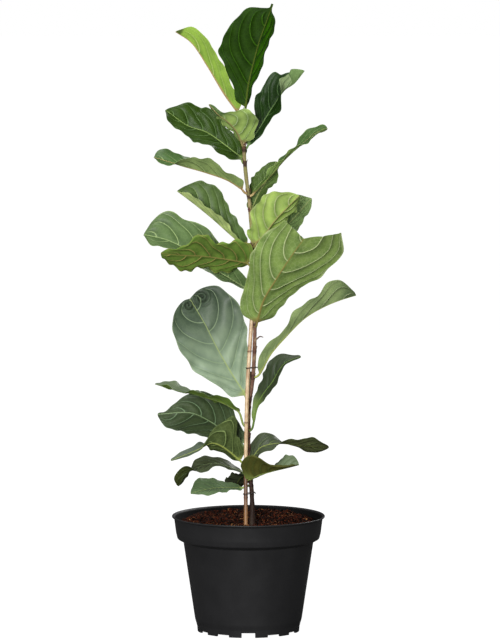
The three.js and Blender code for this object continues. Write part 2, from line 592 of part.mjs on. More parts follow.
const POT_BLACK = material(0x1d1d1e, 0.45);
const SOIL_BROWN = material(0x2b1a12, 0.95);
const BARK_BROWN = material(0x5a4335, 0.8);
const BAMBOO_TAN = material(0xd9b98c, 0.55);
const WIRE_BROWN = material(0x2c211b, 0.6);
const LEAF_GREEN = material(0x35552f, 0.4);

const fig = new THREE.Group();
function add(name, geometry, finish) {
  const mesh = new THREE.Mesh(geometry, finish);
  mesh.name = name;
  fig.add(mesh);
}

add("pot", potGeometry(), POT_BLACK);
add("soil", soilGeometry(), SOIL_BROWN);
add("stem", stemGeometry(), BARK_BROWN);
add("cane", tube(canePath, CANE_RINGS, CANE_SIDES, () => CANE_RADIUS), BAMBOO_TAN);
for (const [place, height] of Object.entries(TIES)) {
  add(`tie_${place}`, tieGeometry(height), WIRE_BROWN);
}
LEAVES.forEach((leaf, i) => add(`leaf_${String(i + 1).padStart(2, "0")}`, leafGeometry(leaf), LEAF_GREEN));

export default fig;
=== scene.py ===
import math

import bpy
import numpy as np
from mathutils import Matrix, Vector


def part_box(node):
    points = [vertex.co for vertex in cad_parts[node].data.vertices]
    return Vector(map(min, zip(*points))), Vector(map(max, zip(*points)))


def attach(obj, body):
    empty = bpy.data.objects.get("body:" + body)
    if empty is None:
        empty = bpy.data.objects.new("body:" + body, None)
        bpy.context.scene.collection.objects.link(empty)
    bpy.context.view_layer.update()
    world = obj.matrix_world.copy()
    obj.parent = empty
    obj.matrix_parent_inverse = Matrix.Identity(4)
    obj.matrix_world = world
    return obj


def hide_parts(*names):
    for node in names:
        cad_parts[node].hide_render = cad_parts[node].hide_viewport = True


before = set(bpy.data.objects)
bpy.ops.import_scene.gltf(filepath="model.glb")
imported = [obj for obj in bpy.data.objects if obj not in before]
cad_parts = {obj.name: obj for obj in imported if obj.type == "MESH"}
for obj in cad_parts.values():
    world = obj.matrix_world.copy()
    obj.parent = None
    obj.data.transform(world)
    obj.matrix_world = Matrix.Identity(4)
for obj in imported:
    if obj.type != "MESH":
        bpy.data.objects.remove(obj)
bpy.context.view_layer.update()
scene = bpy.context.scene
print("frame loaded")

millimetre = 0.001


# An sRGB hex colour as linear red, green, blue and full alpha: near black a part is divided by 12.92, and
# else it is raised to the power 2.4 after 0.055 is added and the sum divided by 1.055
def linearColour(hexText):
    parts = [int(hexText[i:i + 2], 16) / 255 for i in (0, 2, 4)]
    return [c / 12.92 if c <= 0.04045 else ((c + 0.055) / 1.055) ** 2.4 for c in parts] + [1.0]


# 0 before low, 1 after high, and a smooth step between
def smoothStep(x, low, high):
    t = np.clip((x - low) / (high - low), 0, 1)
    return t * t * (3 - 2 * t)


# Vectors divided by their lengths
def unitVector(v):
    return v / np.linalg.norm(v, axis=-1, keepdims=True)


# Smooth noise from -1 to 1 on a plane: random values on a square grid, each point blending the four round it
def planeNoise(x, y, cell, seed):
    grid = np.random.default_rng(seed).uniform(-1, 1, (64, 64))
    px, py = np.asarray(x) / cell, np.asarray(y) / cell
    ix, iy = np.floor(px).astype(int), np.floor(py).astype(int)
    fx, fy = smoothStep(px - ix, 0, 1), smoothStep(py - iy, 0, 1)
    at = lambda i, j: grid[i % 64, j % 64]
    low = at(ix, iy) * (1 - fx) + at(ix + 1, iy) * fx
    high = at(ix, iy + 1) * (1 - fx) + at(ix + 1, iy + 1) * fx
    return low * (1 - fy) + high * fy


# A smooth curve through points (centripetal Catmull-Rom: a cubic between each two points, whose slopes come
# from their neighbours, and whose steps are the square roots of the gaps). share goes from 0 to 1, by gaps.
def splineAt(points, share):
    p = np.asarray(points, float)
    count = len(p)
    p = np.vstack([2 * p[0] - p[1], p, 2 * p[-1] - p[-2]])
    along = np.clip(share, 0, 1) * (count - 1)
    i = np.minimum(along.astype(int), count - 2)
    u = (along - i)[:, None]
    gap = np.sqrt(np.linalg.norm(np.diff(p, axis=0), axis=1))[:, None]
    before, step, after = gap[i], gap[i + 1], gap[i + 2]
    a, b, c, d = p[i], p[i + 1], p[i + 2], p[i + 3]
    slopeB = ((b - a) / before - (c - a) / (before + step) + (c - b) / step) * step
    slopeC = ((c - b) / step - (d - b) / (step + after) + (d - c) / after) * step
    ends = b * (1 + 2 * u) * (1 - u) ** 2 + c * u * u * (3 - 2 * u)
    return ends + slopeB * u * (1 - u) ** 2 - slopeC * u * u * (1 - u)


# The same curve by its length, with its direction and its whole length
def splineByLength(points, share):
    fine = np.linspace(0, 1, 401)
    run = np.concatenate([[0], np.cumsum(np.linalg.norm(np.diff(splineAt(points, fine), axis=0), axis=1))])
    places = np.interp(share, run / run[-1], fine)
    nudge = 0.002
    ahead = splineAt(points, np.minimum(places + nudge, 1))
    behind = splineAt(points, np.maximum(places - nudge, 0))
    return splineAt(points, places), unitVector(ahead - behind), run[-1]


# A cubic through knots, level with the line between each knot's two neighbours
def throughKnots(at, values, s):
    at, values = np.asarray(at, float), np.asarray(values, float)
    last = len(at) - 1
    low, high = np.maximum(np.arange(last + 1) - 1, 0), np.minimum(np.arange(last + 1) + 1, last)
    slope = (values[high] - values[low]) / (at[high] - at[low])
    i = np.clip(np.searchsorted(at, s) - 1, 0, last - 1)
    span = at[i + 1] - at[i]
    u = (s - at[i]) / span
    rise = values[i] * (1 + 2 * u) * (1 - u) ** 2 + values[i + 1] * u * u * (3 - 2 * u)
    return rise + span * u * (1 - u) * (slope[i] * (1 - u) - slope[i + 1] * u)


# Even turns round a whole circle
def turnsRound(count):
    return np.linspace(0, 2 * np.pi, count, endpoint=False)


# The triangles of a sheet of rows and columns of points; wrap joins the last column to the first
def gridTriangles(rows, columns, wrap):
    across = columns if wrap else columns - 1
    i, j = np.meshgrid(np.arange(rows - 1), np.arange(across), indexing="ij")
    k = (j + 1) % columns
    a, b, c, d = i * columns + j, i * columns + k, (i + 1) * columns + k, (i + 1) * columns + j
    return np.stack([a, b, c, a, c, d], -1).reshape(-1, 3)


# A mesh object from points in millimetres and triangles, with a value per point for each name in values, and
# where there are two materials, which of them each triangle takes
def meshObject(name, points, triangles, materials, values={}, uvMaps={}, sharpAngle=50, slots=None):
    mesh = bpy.data.meshes.new(name)
    mesh.vertices.add(len(points))
    mesh.vertices.foreach_set("co", (np.asarray(points) * millimetre).astype(np.float32).ravel())
    mesh.loops.add(triangles.size)
    mesh.loops.foreach_set("vertex_index", triangles.astype(np.int32).ravel())
    mesh.polygons.add(len(triangles))
    mesh.polygons.foreach_set("loop_start", np.arange(0, triangles.size, 3, dtype=np.int32))
    mesh.update(calc_edges=True)
    for key, value in values.items():
        value = np.asarray(value, np.float32)
        if value.ndim == 1:
            mesh.attributes.new(key, "FLOAT", "POINT").data.foreach_set("value", value)
        else:
            mesh.attributes.new(key, "FLOAT_COLOR", "POINT").data.foreach_set("color", value.ravel())
    for key, value in uvMaps.items():
        mesh.uv_layers.new(name=key).uv.foreach_set("vector", value.astype(np.float32).ravel())
    mesh.shade_smooth()
    mesh.set_sharp_from_angle(angle=math.radians(sharpAngle))
    for material in materials:
        mesh.materials.append(material)
    if slots is not None:
        mesh.polygons.foreach_set("material_index", slots.astype(np.int32))
    piece = bpy.data.objects.new(name, mesh)
    scene.collection.objects.link(piece)
    return piece


# Adds a node of a kind with its settings, and gives one of its outputs. Each input is another node's output,
# a hex colour or a plain value.
def addNode(tree, kind, inputs={}, give=0, **settings):
    node = tree.nodes.new("ShaderNode" + kind)
    for key, value in settings.items():
        setattr(node, key, value)
    for key, value in inputs.items():
        if isinstance(value, bpy.types.NodeSocket):
            tree.links.new(value, node.inputs[key])
        else:
            node.inputs[key].default_value = linearColour(value) if isinstance(value, str) else value
    return node.outputs[give]


# settings of a node that mixes two colours (inputs 6 and 7 by input 0), and of a range with eased ends
colourMix = {"give": 2, "data_type": "RGBA"}
eased = {"interpolation_type": "SMOOTHSTEP"}


# A pattern's scale on Object coordinates, from the size of its cells in millimetres
def cellsOf(size):
    return 1 / (size * millimetre)


# The heights in millimetres between which a range of heights goes from its start to its end
def heightRange(heights):
    return {"From Min": heights[0] * millimetre, "From Max": heights[1] * millimetre}


# A new material and its shader, with what is the same all over set on the shader
def newMaterial(name, shaderValues):
    material = bpy.data.materials.new(name)
    material.use_nodes = True
    shader = material.node_tree.nodes["Principled BSDF"]
    for key, value in shaderValues.items():
        shader.inputs[key].default_value = value
    return material, material.node_tree, shader


view = {"place": (0.0025, -8.0, 1.305), "tiltDown": 5.82, "lens": 289.5, "sensor": 36.0}

camera = bpy.data.objects.new("photoCamera", bpy.data.cameras.new("photoCamera"))
camera.data.lens = view["lens"]
camera.data.sensor_width = view["sensor"]
camera.data.clip_end = 100
camera.location = view["place"]
camera.rotation_euler = (math.radians(90 - view["tiltDown"]), 0, 0)
scene.collection.objects.link(camera)
scene.camera = camera
scene.view_settings.view_transform = "Standard"

studio = {
    # the floor's and the backdrop's glow is what the camera sees of them, the rest is what lights the plant
    "floorColour": "585858", "floorSize": 40, "floorGlow": 1.0, "backdropColour": "ffffff", "fill": 0.32,
    # each softbox: where it is, what it points at, its size in metres and its power in watts
    "softboxes": {
        "overhead": {"place": (-0.7, -0.9, 3.2), "aim": (0, 0, 0.6), "size": (1.4, 1.2), "power": 60},
        "front": {"place": (-0.7, -4.6, 1.2), "aim": (0, 0, 0.5), "size": (0.9, 1.2), "power": 205},
        "back": {"place": (1.9, 2.2, 2.2), "aim": (0, 0, 0.7), "size": (1.2, 1.2), "power": 55},
    },
}

world = bpy.data.worlds.new("studioFill")
world.use_nodes = True
scene.world = world
background = world.node_tree.nodes["Background"]
tree = world.node_tree
seen = addNode(tree, "LightPath", give="Is Camera Ray")
direction = addNode(tree, "TexCoord", give="Generated")
upward = addNode(tree, "SeparateXYZ", {0: direction}, give=2)
dome = addNode(tree, "MapRange", {
    "Value": upward, "From Max": 0.8, "To Min": 0.04 * studio["fill"], "To Max": studio["fill"]})
strength = addNode(tree, "Mix", {0: seen, 2: dome, 3: 1.0})
tree.links.new(strength, background.inputs["Strength"])
background.inputs["Color"].default_value = linearColour(studio["backdropColour"])

for name, box in studio["softboxes"].items():
    lamp = bpy.data.lights.new("softbox_" + name, "AREA")
    lamp.shape = "RECTANGLE"
    lamp.size, lamp.size_y = box["size"]
    lamp.energy = box["power"]
    light = bpy.data.objects.new("softbox_" + name, lamp)
    light.location = box["place"]
    aim = Vector(box["aim"]) - Vector(box["place"])
    light.rotation_euler = aim.to_track_quat("-Z", "Y").to_euler()
    scene.collection.objects.link(light)
print("camera and studio made")


# Points on the stem's centre line, with its radius there, from its buried foot to its bud
stemKnots = [
    [7, -15, 118, 3.4], [6, -15, 150, 5.4], [6, -14, 170, 5.2], [6, -13, 192, 3.9], [5, -11, 223, 3.4],
    [1, -5, 262, 3.4], [0, 0, 301, 3.3], [1, 1, 356, 3.2], [5, 0, 384, 3.2], [8, -1, 411, 3.1],
    [10, -3, 466, 3], [10, -4, 537, 2.9], [8, -2, 584, 2.9], [6, 0, 615, 2.9], [2, 0, 670, 3],
    [-2, 0, 701, 3], [-5, 0, 729, 3], [-7, 0, 759, 3], [-8, 1, 786, 3], [-8, 1, 806, 2.2], [-7, 1, 822, 0.5],
]
stemPoints = [knot[:3] for knot in stemKnots]
stemLook = {
    "sides": 28, "step": 1.2, "scarHeight": 1.8, "scar": 0.5, "lump": 0.25, "lumpSize": 5,
    # heights of nodes whose leaves have dropped
    "bareNodes": [306, 352, 397, 441, 503, 545, 627],
    # each node's darkness, over its length either way and uneven by patches, and the finer lumps' share
    "darkLength": 5.5, "darkPatch": 7, "dark": 0.75, "fineLump": 0.5, "fineLumpSize": 2.5, "tip": 0.4,
    "spurDark": 0.6,
}

canePoints = [
    [-4, -34, 60], [-4, -30, 171], [-4, -21, 262], [-3, -13, 334], [-1, -9, 396],
    [1, -6, 427], [3, -2, 459], [5, 3, 490], [8, 6, 560], [11, 8, 640],
]
cane = {"radius": 3.1, "sides": 28, "step": 1.2, "nodes": [214, 330, 441, 548], "nodeSwell": 0.45,
        "nodeLength": 1.6, "grooveOver": 1.8, "grooveHalf": 0.5, "grooveDepth": 0.2, "streak": 0.05}

spurPoints = [[10, -3, 458], [14, -4, 461], [18, -4, 464], [23, -4, 463]]
spur = {"rootRadius": 1.5, "tipRadius": 0.7, "rows": 24, "sides": 16}

ties = {"heights": {"tie_lower": 219, "tie_upper": 415}, "wire": 0.42, "turns": 2, "rise": 1.1, "gap": 0.42,
        "tail": 7, "tailTurns": 2.5, "tailDrop": 2.5, "wobble": 0.06, "tailSpread": 1.15,
        "rows": 90, "tailRows": 25, "sides": 10}


# A stem knot's radius, straight between knots
def stemRadiusAt(share):
    return np.interp(share, np.linspace(0, 1, len(stemKnots)), [knot[3] for knot in stemKnots])


# A tube round a path, of level rings or of rings square to the path: each ring's points lie at the radius
# times (cos, sin) of their turn. The radius is one value per ring, or one per point.
def tubePoints(path, radius, sides, level=True):
    turn = turnsRound(sides)
    if level:
        first, second = [np.tile(side, (len(path), 1)) for side in ([1.0, 0, 0], [0, 1.0, 0])]
    else:
        along = unitVector(np.gradient(path, axis=0))
        steady = np.array([0.31, 0.17, 0.93])  # a direction that no path here runs along
        first = unitVector(np.cross(along, steady))
        second = np.cross(along, first)
    radius = np.asarray(radius)
    radius = radius[:, None] if radius.ndim == 1 else radius
    circle = first[:, None] * np.cos(turn)[None, :, None] + second[:, None] * np.sin(turn)[None, :, None]
    return path[:, None] + circle * radius[..., None]


# The triangles of a tube whose two ends are single points, numbered after the rings
def closedTube(points, startPoint, endPoint):
    rows, sides = points.shape[:2]
    flat = np.concatenate([points.reshape(-1, 3), [startPoint, endPoint]])
    j = np.arange(sides)
    k = (j + 1) % sides
    last = (rows - 1) * sides
    start, end = rows * sides, rows * sides + 1
    startCap = np.stack([np.full(sides, start), k, j], -1)
    endCap = np.stack([np.full(sides, end), last + j, last + k], -1)
    return flat, np.concatenate([gridTriangles(rows, sides, True), startCap, endCap])


# Many closed meshes as one: each one's triangles are numbered on from the last point before it
def joined(meshes):
    starts = np.cumsum([0] + [len(flat) for flat, triangles in meshes[:-1]])
    corners = [triangles + start for (flat, triangles), start in zip(meshes, starts)]
    return np.concatenate([flat for flat, triangles in meshes]), np.concatenate(corners)


# The stem: a level ring every step, with a raised scar where each leaf hung or hangs, and lumpy bark
def makeStem():
    rows = int((stemKnots[-1][2] - stemKnots[0][2]) / stemLook["step"])
    share = np.linspace(0, 1, rows)
    path = splineAt(stemPoints, share)
    heights = path[:, 2]
    leafHeights = np.array([leaf["at"] for leaf in leafShapes])
    gaps = np.abs(heights[:, None] - np.concatenate([leafHeights, stemLook["bareNodes"]]))
    scar = np.exp(-(gaps / stemLook["scarHeight"]) ** 2).max(1)
    turn = turnsRound(stemLook["sides"])
    lumps = planeNoise(heights[:, None] / 2 + 300, 8 * np.sin(turn)[None] + 20, stemLook["lumpSize"], 5)
    fine = planeNoise(heights[:, None] + 300, 8 * np.cos(turn)[None] + 20, stemLook["fineLumpSize"], 6)
    lumps = lumps + stemLook["fineLump"] * fine
    plain = stemRadiusAt(share)[:, None]
    slim = np.minimum(1, plain / 2)
    radius = plain + (stemLook["scar"] * scar[:, None] + stemLook["lump"] * lumps) * slim
    points = tubePoints(path, radius, stemLook["sides"])
    flat, triangles = closedTube(points, path[0], path[-1] + [0, 0, stemLook["tip"]])
    patches = planeNoise(heights[:, None] + 90, 6 * np.sin(turn)[None] + 60, stemLook["darkPatch"], 7)
    dark = np.exp(-(gaps / stemLook["darkLength"]) ** 2).max(1)[:, None] * (stemLook["dark"] + patches)
    darks = np.concatenate([dark.ravel(), [0, 0]])
    piece = meshObject("stem_bark", flat, triangles, [barkMaterial], {"nodeDark": darks})
    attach(piece, "root")
    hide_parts("stem")

    path = splineAt(spurPoints, np.linspace(0, 1, spur["rows"]))
    radius = np.linspace(spur["rootRadius"], spur["tipRadius"], spur["rows"])
    rings = tubePoints(path, radius, spur["sides"], False)
    flat, triangles = closedTube(rings, path[0], path[-1] + [stemLook["tip"], 0, 0])
    darks = np.full(len(flat), stemLook["spurDark"])
    piece = meshObject("stem_spur", flat, triangles, [barkMaterial], {"nodeDark": darks})
    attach(piece, "root")


# Dry bud scales: two papery flaps stand against the stem at each node. A flap's rows go up the stem and
# narrow towards its tip, which bends outwards, and its outside and inside make one closed ring at each row.
scale = {"height": (5, 10), "halfTurn": 60, "thickness": 0.4, "flare": 1.5, "gap": 0.35, "each": 2,
         "tip": 0.2, "narrowing": 0.9, "narrowPower": 0.7, "rows": 7, "columns": 5}


def makeScales():
    random = np.random.default_rng(17)
    up = np.linspace(0, 1, scale["rows"])[:, None]
    side = np.linspace(-1, 1, scale["columns"])[None]
    heights = [leaf["at"] for leaf in leafShapes] + stemLook["bareNodes"]
    flaps = []
    for height in np.repeat(heights, scale["each"]):
        centre, radius = stemAt(height)
        half = math.radians(scale["halfTurn"]) * side * (1 - scale["narrowing"] * up) ** scale["narrowPower"]
        turn = random.uniform(0, 2 * np.pi) + half
        out = radius + scale["gap"] + scale["flare"] * up ** 2 + 0 * side
        rise = centre[2] + up * random.uniform(*scale["height"]) + 0 * side
        outside = np.stack([centre[0] + out * np.cos(turn), centre[1] + out * np.sin(turn), rise], -1)
        out = out - scale["thickness"]
        inside = np.stack([centre[0] + out * np.cos(turn), centre[1] + out * np.sin(turn), rise], -1)
        rings = np.concatenate([outside, inside[:, ::-1]], 1)
        flaps.append(closedTube(rings, rings[0].mean(0), rings[-1].mean(0) + [0, 0, scale["tip"]]))
    piece = meshObject("stem_scales", *joined(flaps), [scaleMaterial])
    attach(piece, "root")


# The cane: a tube with a swollen ring at each of its nodes
def makeCane():
    rows = int((canePoints[-1][2] - canePoints[0][2]) / cane["step"])
    path = splineAt(canePoints, np.linspace(0, 1, rows))
    gaps = path[:, 2, None] - np.array(cane["nodes"])
    ring = np.exp(-(gaps / cane["nodeLength"]) ** 2).max(1)
    groove = np.exp(-((gaps - cane["grooveOver"]) / cane["grooveHalf"]) ** 2).max(1)
    turn = turnsRound(cane["sides"])
    streaks = planeNoise(path[:, 2, None] / 12, 3 * turn[None] + 9, 1.0, 8) * np.sin(turn / 2) ** 0.5
    radius = cane["radius"] + cane["nodeSwell"] * ring[:, None] - cane["grooveDepth"] * groove[:, None]
    radius = radius + cane["streak"] * streaks
    flat, triangles = closedTube(tubePoints(path, radius, cane["sides"]), path[0], path[-1])
    nodes = np.concatenate([np.repeat(ring, cane["sides"]), [0, 0]])
    piece = meshObject("cane_bamboo", flat, triangles, [bambooMaterial], {"node": nodes})
    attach(piece, "root")
    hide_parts("cane")


# A wire tie: two turns round the stem and the cane on an oval, whose ends twist round each other as a tail
def makeTies():
    for name, height in ties["heights"].items():
        centre, radius = stemAt(height)
        fine = np.linspace(0, 1, 2001)
        heights = splineAt(canePoints, fine)
        other = splineAt(canePoints, np.array([np.interp(height, heights[:, 2], fine)]))[0]
        apart = centre - other
        apart[2] = 0
        reach = np.linalg.norm(apart) / 2
        middle = (centre + other) / 2
        way = apart / np.linalg.norm(apart)
        across = np.array([-way[1], way[0], 0])
        roundness = max(radius, cane["radius"]) + ties["gap"] + ties["wire"]
        turn = np.linspace(0, 2 * np.pi * ties["turns"], ties["rows"])
        wobble = 1 + ties["wobble"] * np.sin(3 * turn + height)
        sideways = np.clip(np.cos(turn) * 3, -1, 1) * reach + np.cos(turn) * roundness
        rise = (turn / turn[-1] - 0.5) * 2 * ties["rise"]
        path = middle + way * sideways[:, None] + across * (np.sin(turn) * roundness * wobble)[:, None]
        path[:, 2] = height + rise
        run = np.linspace(0, 1, ties["tailRows"] + 1)[1:, None]
        wind = 2 * np.pi * ties["tailTurns"] * run
        spread = ties["wire"] * ties["tailSpread"]
        up = np.array([0, 0, 1.0])
        middle = (path[0] + path[-1]) / 2 + way * (ties["tail"] * run) - up * (ties["tailDrop"] * run ** 2)
        helix = spread * (across * np.cos(wind) + up * np.sin(wind))
        path = np.concatenate([(middle - helix)[::-1], path, middle + helix])
        rings = tubePoints(path, np.full(len(path), ties["wire"]), ties["sides"], False)
        flat, triangles = closedTube(rings, path[0], path[-1])
        piece = meshObject(name + "_wire", flat, triangles, [wireMaterial])
        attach(piece, "root")
        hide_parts(name)


soil = {
    "level": 168, "backRise": 8, "bank": (20, 100), "lump": 1, "sides": 300, "topRings": 84,
    "clods": [(15, 1.5), (6.5, 1.1), (2.8, 0.55)], "crumbs": 4200, "crumbSize": (0.7, 2.3),
    "fibres": 110, "fibreLength": (6, 20), "fibreRadius": 0.32, "fibreRise": 0.6, "fibreBend": 1.6,
    # how far crumbs and fibres keep from the pot, and how a crumb stands up, is stretched and is uneven
    "crumbGap": 4, "fibreGap": 8, "crumbRise": 0.25, "crumbStretch": (0.55, 1.2), "crumbUneven": 0.3,
    # radius and height of its side's corners, up to the crease of the pot's rim band
    "side": [(74.5, 10.2), (79.2, 13.6), (81.6, 19), (99.8, 142.8), (108.6, 148.3)], "potGap": 0.3,
}


# The soil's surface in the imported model: level round the stem, banked up towards the back, with small lumps
def soilHeight(x, y):
    lumps = np.sin(x * 0.13 + 1.2) * np.cos(y * 0.17) + 0.6 * np.sin(x * 0.31 - y * 0.23 + 0.7)
    return soil["level"] + soil["backRise"] * smoothStep(y, *soil["bank"]) + soil["lump"] * lumps


# The same with clods: noise in three sizes
def soilSurface(x, y):
    height = soilHeight(x, y)
    for number, (cell, amount) in enumerate(soil["clods"]):
        height = height + amount * planeNoise(x + 300, y + 300, cell, 20 + number)
    return height


# The soil: rings up its side and then in to the middle
def makeSoil():
    creaseRadius, creaseHeight = pot["bandCrease"][:2]
    edge = creaseRadius - pot["wall"] - soil["potGap"]
    side = soil["side"] + [(edge, creaseHeight)]
    turn = turnsRound(soil["sides"])
    inward = edge * (1 - np.arange(soil["topRings"]) / soil["topRings"])
    radii = np.concatenate([[r for r, z in side], inward])
    x, y = radii[:, None] * np.cos(turn), radii[:, None] * np.sin(turn)
    z = soilSurface(x, y)
    z[:len(side)] = np.array([z for r, z in side])[:, None]
    middle = float(soilSurface(0.0, 0.0))
    flat, triangles = closedTube(np.stack([x, y, z], -1), [0, 0, side[0][1]], [0, 0, middle])
    piece = meshObject("soil_mix", flat, triangles, [soilMaterial], sharpAngle=180)
    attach(piece, "root")
    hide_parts("soil")

    # loose crumbs: small uneven lumps, each a ball of few faces stretched and turned at random, half sunk
    random = np.random.default_rng(3)
    count = soil["crumbs"]
    far = (edge - soil["crumbGap"]) * np.sqrt(random.uniform(0, 1, count))
    angle = random.uniform(0, 2 * np.pi, count)
    low, high = soil["crumbSize"]
    size = low + (high - low) * random.uniform(0, 1, count) ** 2.5
    places = np.stack([far * np.cos(angle), far * np.sin(angle)], -1)
    heights = soilSurface(places[:, 0], places[:, 1]) + soil["crumbRise"] * size
    ball, ballTriangles = smallBall(3, 5)
    shapes = ball[None] * (1 + soil["crumbUneven"] * random.uniform(-1, 1, (count, len(ball), 1)))
    shapes *= (size[:, None] * random.uniform(*soil["crumbStretch"], (count, 3)))[:, None]
    shapes = np.einsum("nij,nkj->nki", randomTurns(random, count), shapes)
    shapes += np.concatenate([places, heights[:, None]], 1)[:, None]
    offsets = (np.arange(count) * len(ball))[:, None, None]
    shade = np.repeat(random.uniform(0, 1, count), len(ball))
    piece = meshObject("soil_crumbs", shapes.reshape(-1, 3), (ballTriangles[None] + offsets).reshape(-1, 3),
                       [crumbMaterial], {"shade": shade}, sharpAngle=40)
    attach(piece, "root")

    # fibres: thin bent strands lying on the clods
    strands = []
    for _ in range(soil["fibres"]):
        far = (edge - soil["fibreGap"]) * math.sqrt(random.uniform(0, 1))
        angle, way, bend = random.uniform(0, 2 * np.pi, 3)
        run = np.linspace(-0.5, 0.5, 7)
        length = random.uniform(*soil["fibreLength"])
        heading = way + soil["fibreBend"] * np.sin(bend) * run
        x = far * math.cos(angle) + length * run * np.cos(heading)
        y = far * math.sin(angle) + length * run * np.sin(heading)
        path = np.stack([x, y, soilSurface(x, y) + soil["fibreRise"]], -1)
        strand = tubePoints(path, soil["fibreRadius"] * (1.2 - run ** 2), 5, False)
        strands.append(closedTube(strand, path[0], path[-1]))
    piece = meshObject("soil_fibres", *joined(strands), [fibreMaterial])
    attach(piece, "root")


# A ball of a few rings with a point at each pole
def smallBall(rings, sides):
    tilt = np.linspace(0, np.pi, rings + 2)[1:-1, None]
    turn = turnsRound(sides)
    level = -np.cos(tilt) + 0 * turn
    points = np.stack([np.sin(tilt) * np.cos(turn), np.sin(tilt) * np.sin(turn), level], -1)
    return closedTube(points, [0, 0, -1], [0, 0, 1])


# Random turns as matrices, from unit quaternions
def randomTurns(random, count):
    w, x, y, z = unitVector(random.normal(size=(count, 4))).T
    rows = [[1 - 2 * (y * y + z * z), 2 * (x * y - z * w), 2 * (x * z + y * w)],
            [2 * (x * y + z * w), 1 - 2 * (x * x + z * z), 2 * (y * z - x * w)],
            [2 * (x * z - y * w), 2 * (y * z + x * w), 1 - 2 * (x * x + y * y)]]
    return np.moveaxis(np.array(rows), -1, 0)


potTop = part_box("pot")[1]
pot = {
    "rimRadius": potTop.x / millimetre, "height": potTop.z / millimetre, "wall": 1.8, "sides": 288,
    # the outer wall's corners from the foot up: radius, height, and how far off the corner its curve starts
    "footTop": (81.4, 11, 1.5), "bodyBottom": (83.9, 19, 2), "bodyTop": (102.1, 141, 1.5),
    "bandBottom": (111.4, 146, 1.6), "bandCrease": (113.6, 155, 1.2), "bandTop": (116.6, 178, 1.5),
    # the lip's corners, off the rim radius and the height
    "lip": [(-0.15, -2.4, 0.6), (0, -0.9, 0.8), (-1.0, 0, 0.7)], "lipInner": (1, 1.2), "middle": 0.5,
    "footRadius": 80.4, "footWall": 3.2, "floorUnder": 8, "floorCorner": (2, 3),
    "notches": 12, "deepEvery": 3, "notchAngle": 15.7, "deepNotch": 7.6, "shallowNotch": 3.4,
    "drains": 8, "drainRadius": 5, "drainSides": 32, "drainCircle": 52, "drainOver": 3,
}


# Corners rounded off: each is replaced by a quadratic curve from a point a little before it to one as far
# after it. An ease of 0 leaves a corner as it is.
def roundedProfile(corners, steps=5):
    points = []
    for i, (r, z, ease) in enumerate(corners):
        here = np.array([r, z], float)
        if ease == 0 or i in (0, len(corners) - 1):
            points.append(here)
            continue
        before, after = np.array(corners[i - 1][:2], float), np.array(corners[i + 1][:2], float)
        a = here + (before - here) * min(0.45, ease / np.linalg.norm(before - here))
        b = here + (after - here) * min(0.45, ease / np.linalg.norm(after - here))
        t = np.linspace(0, 1, steps)[:, None]
        points.extend(a * (1 - t) ** 2 + 2 * here * t * (1 - t) + b * t * t)
    return np.array(points)


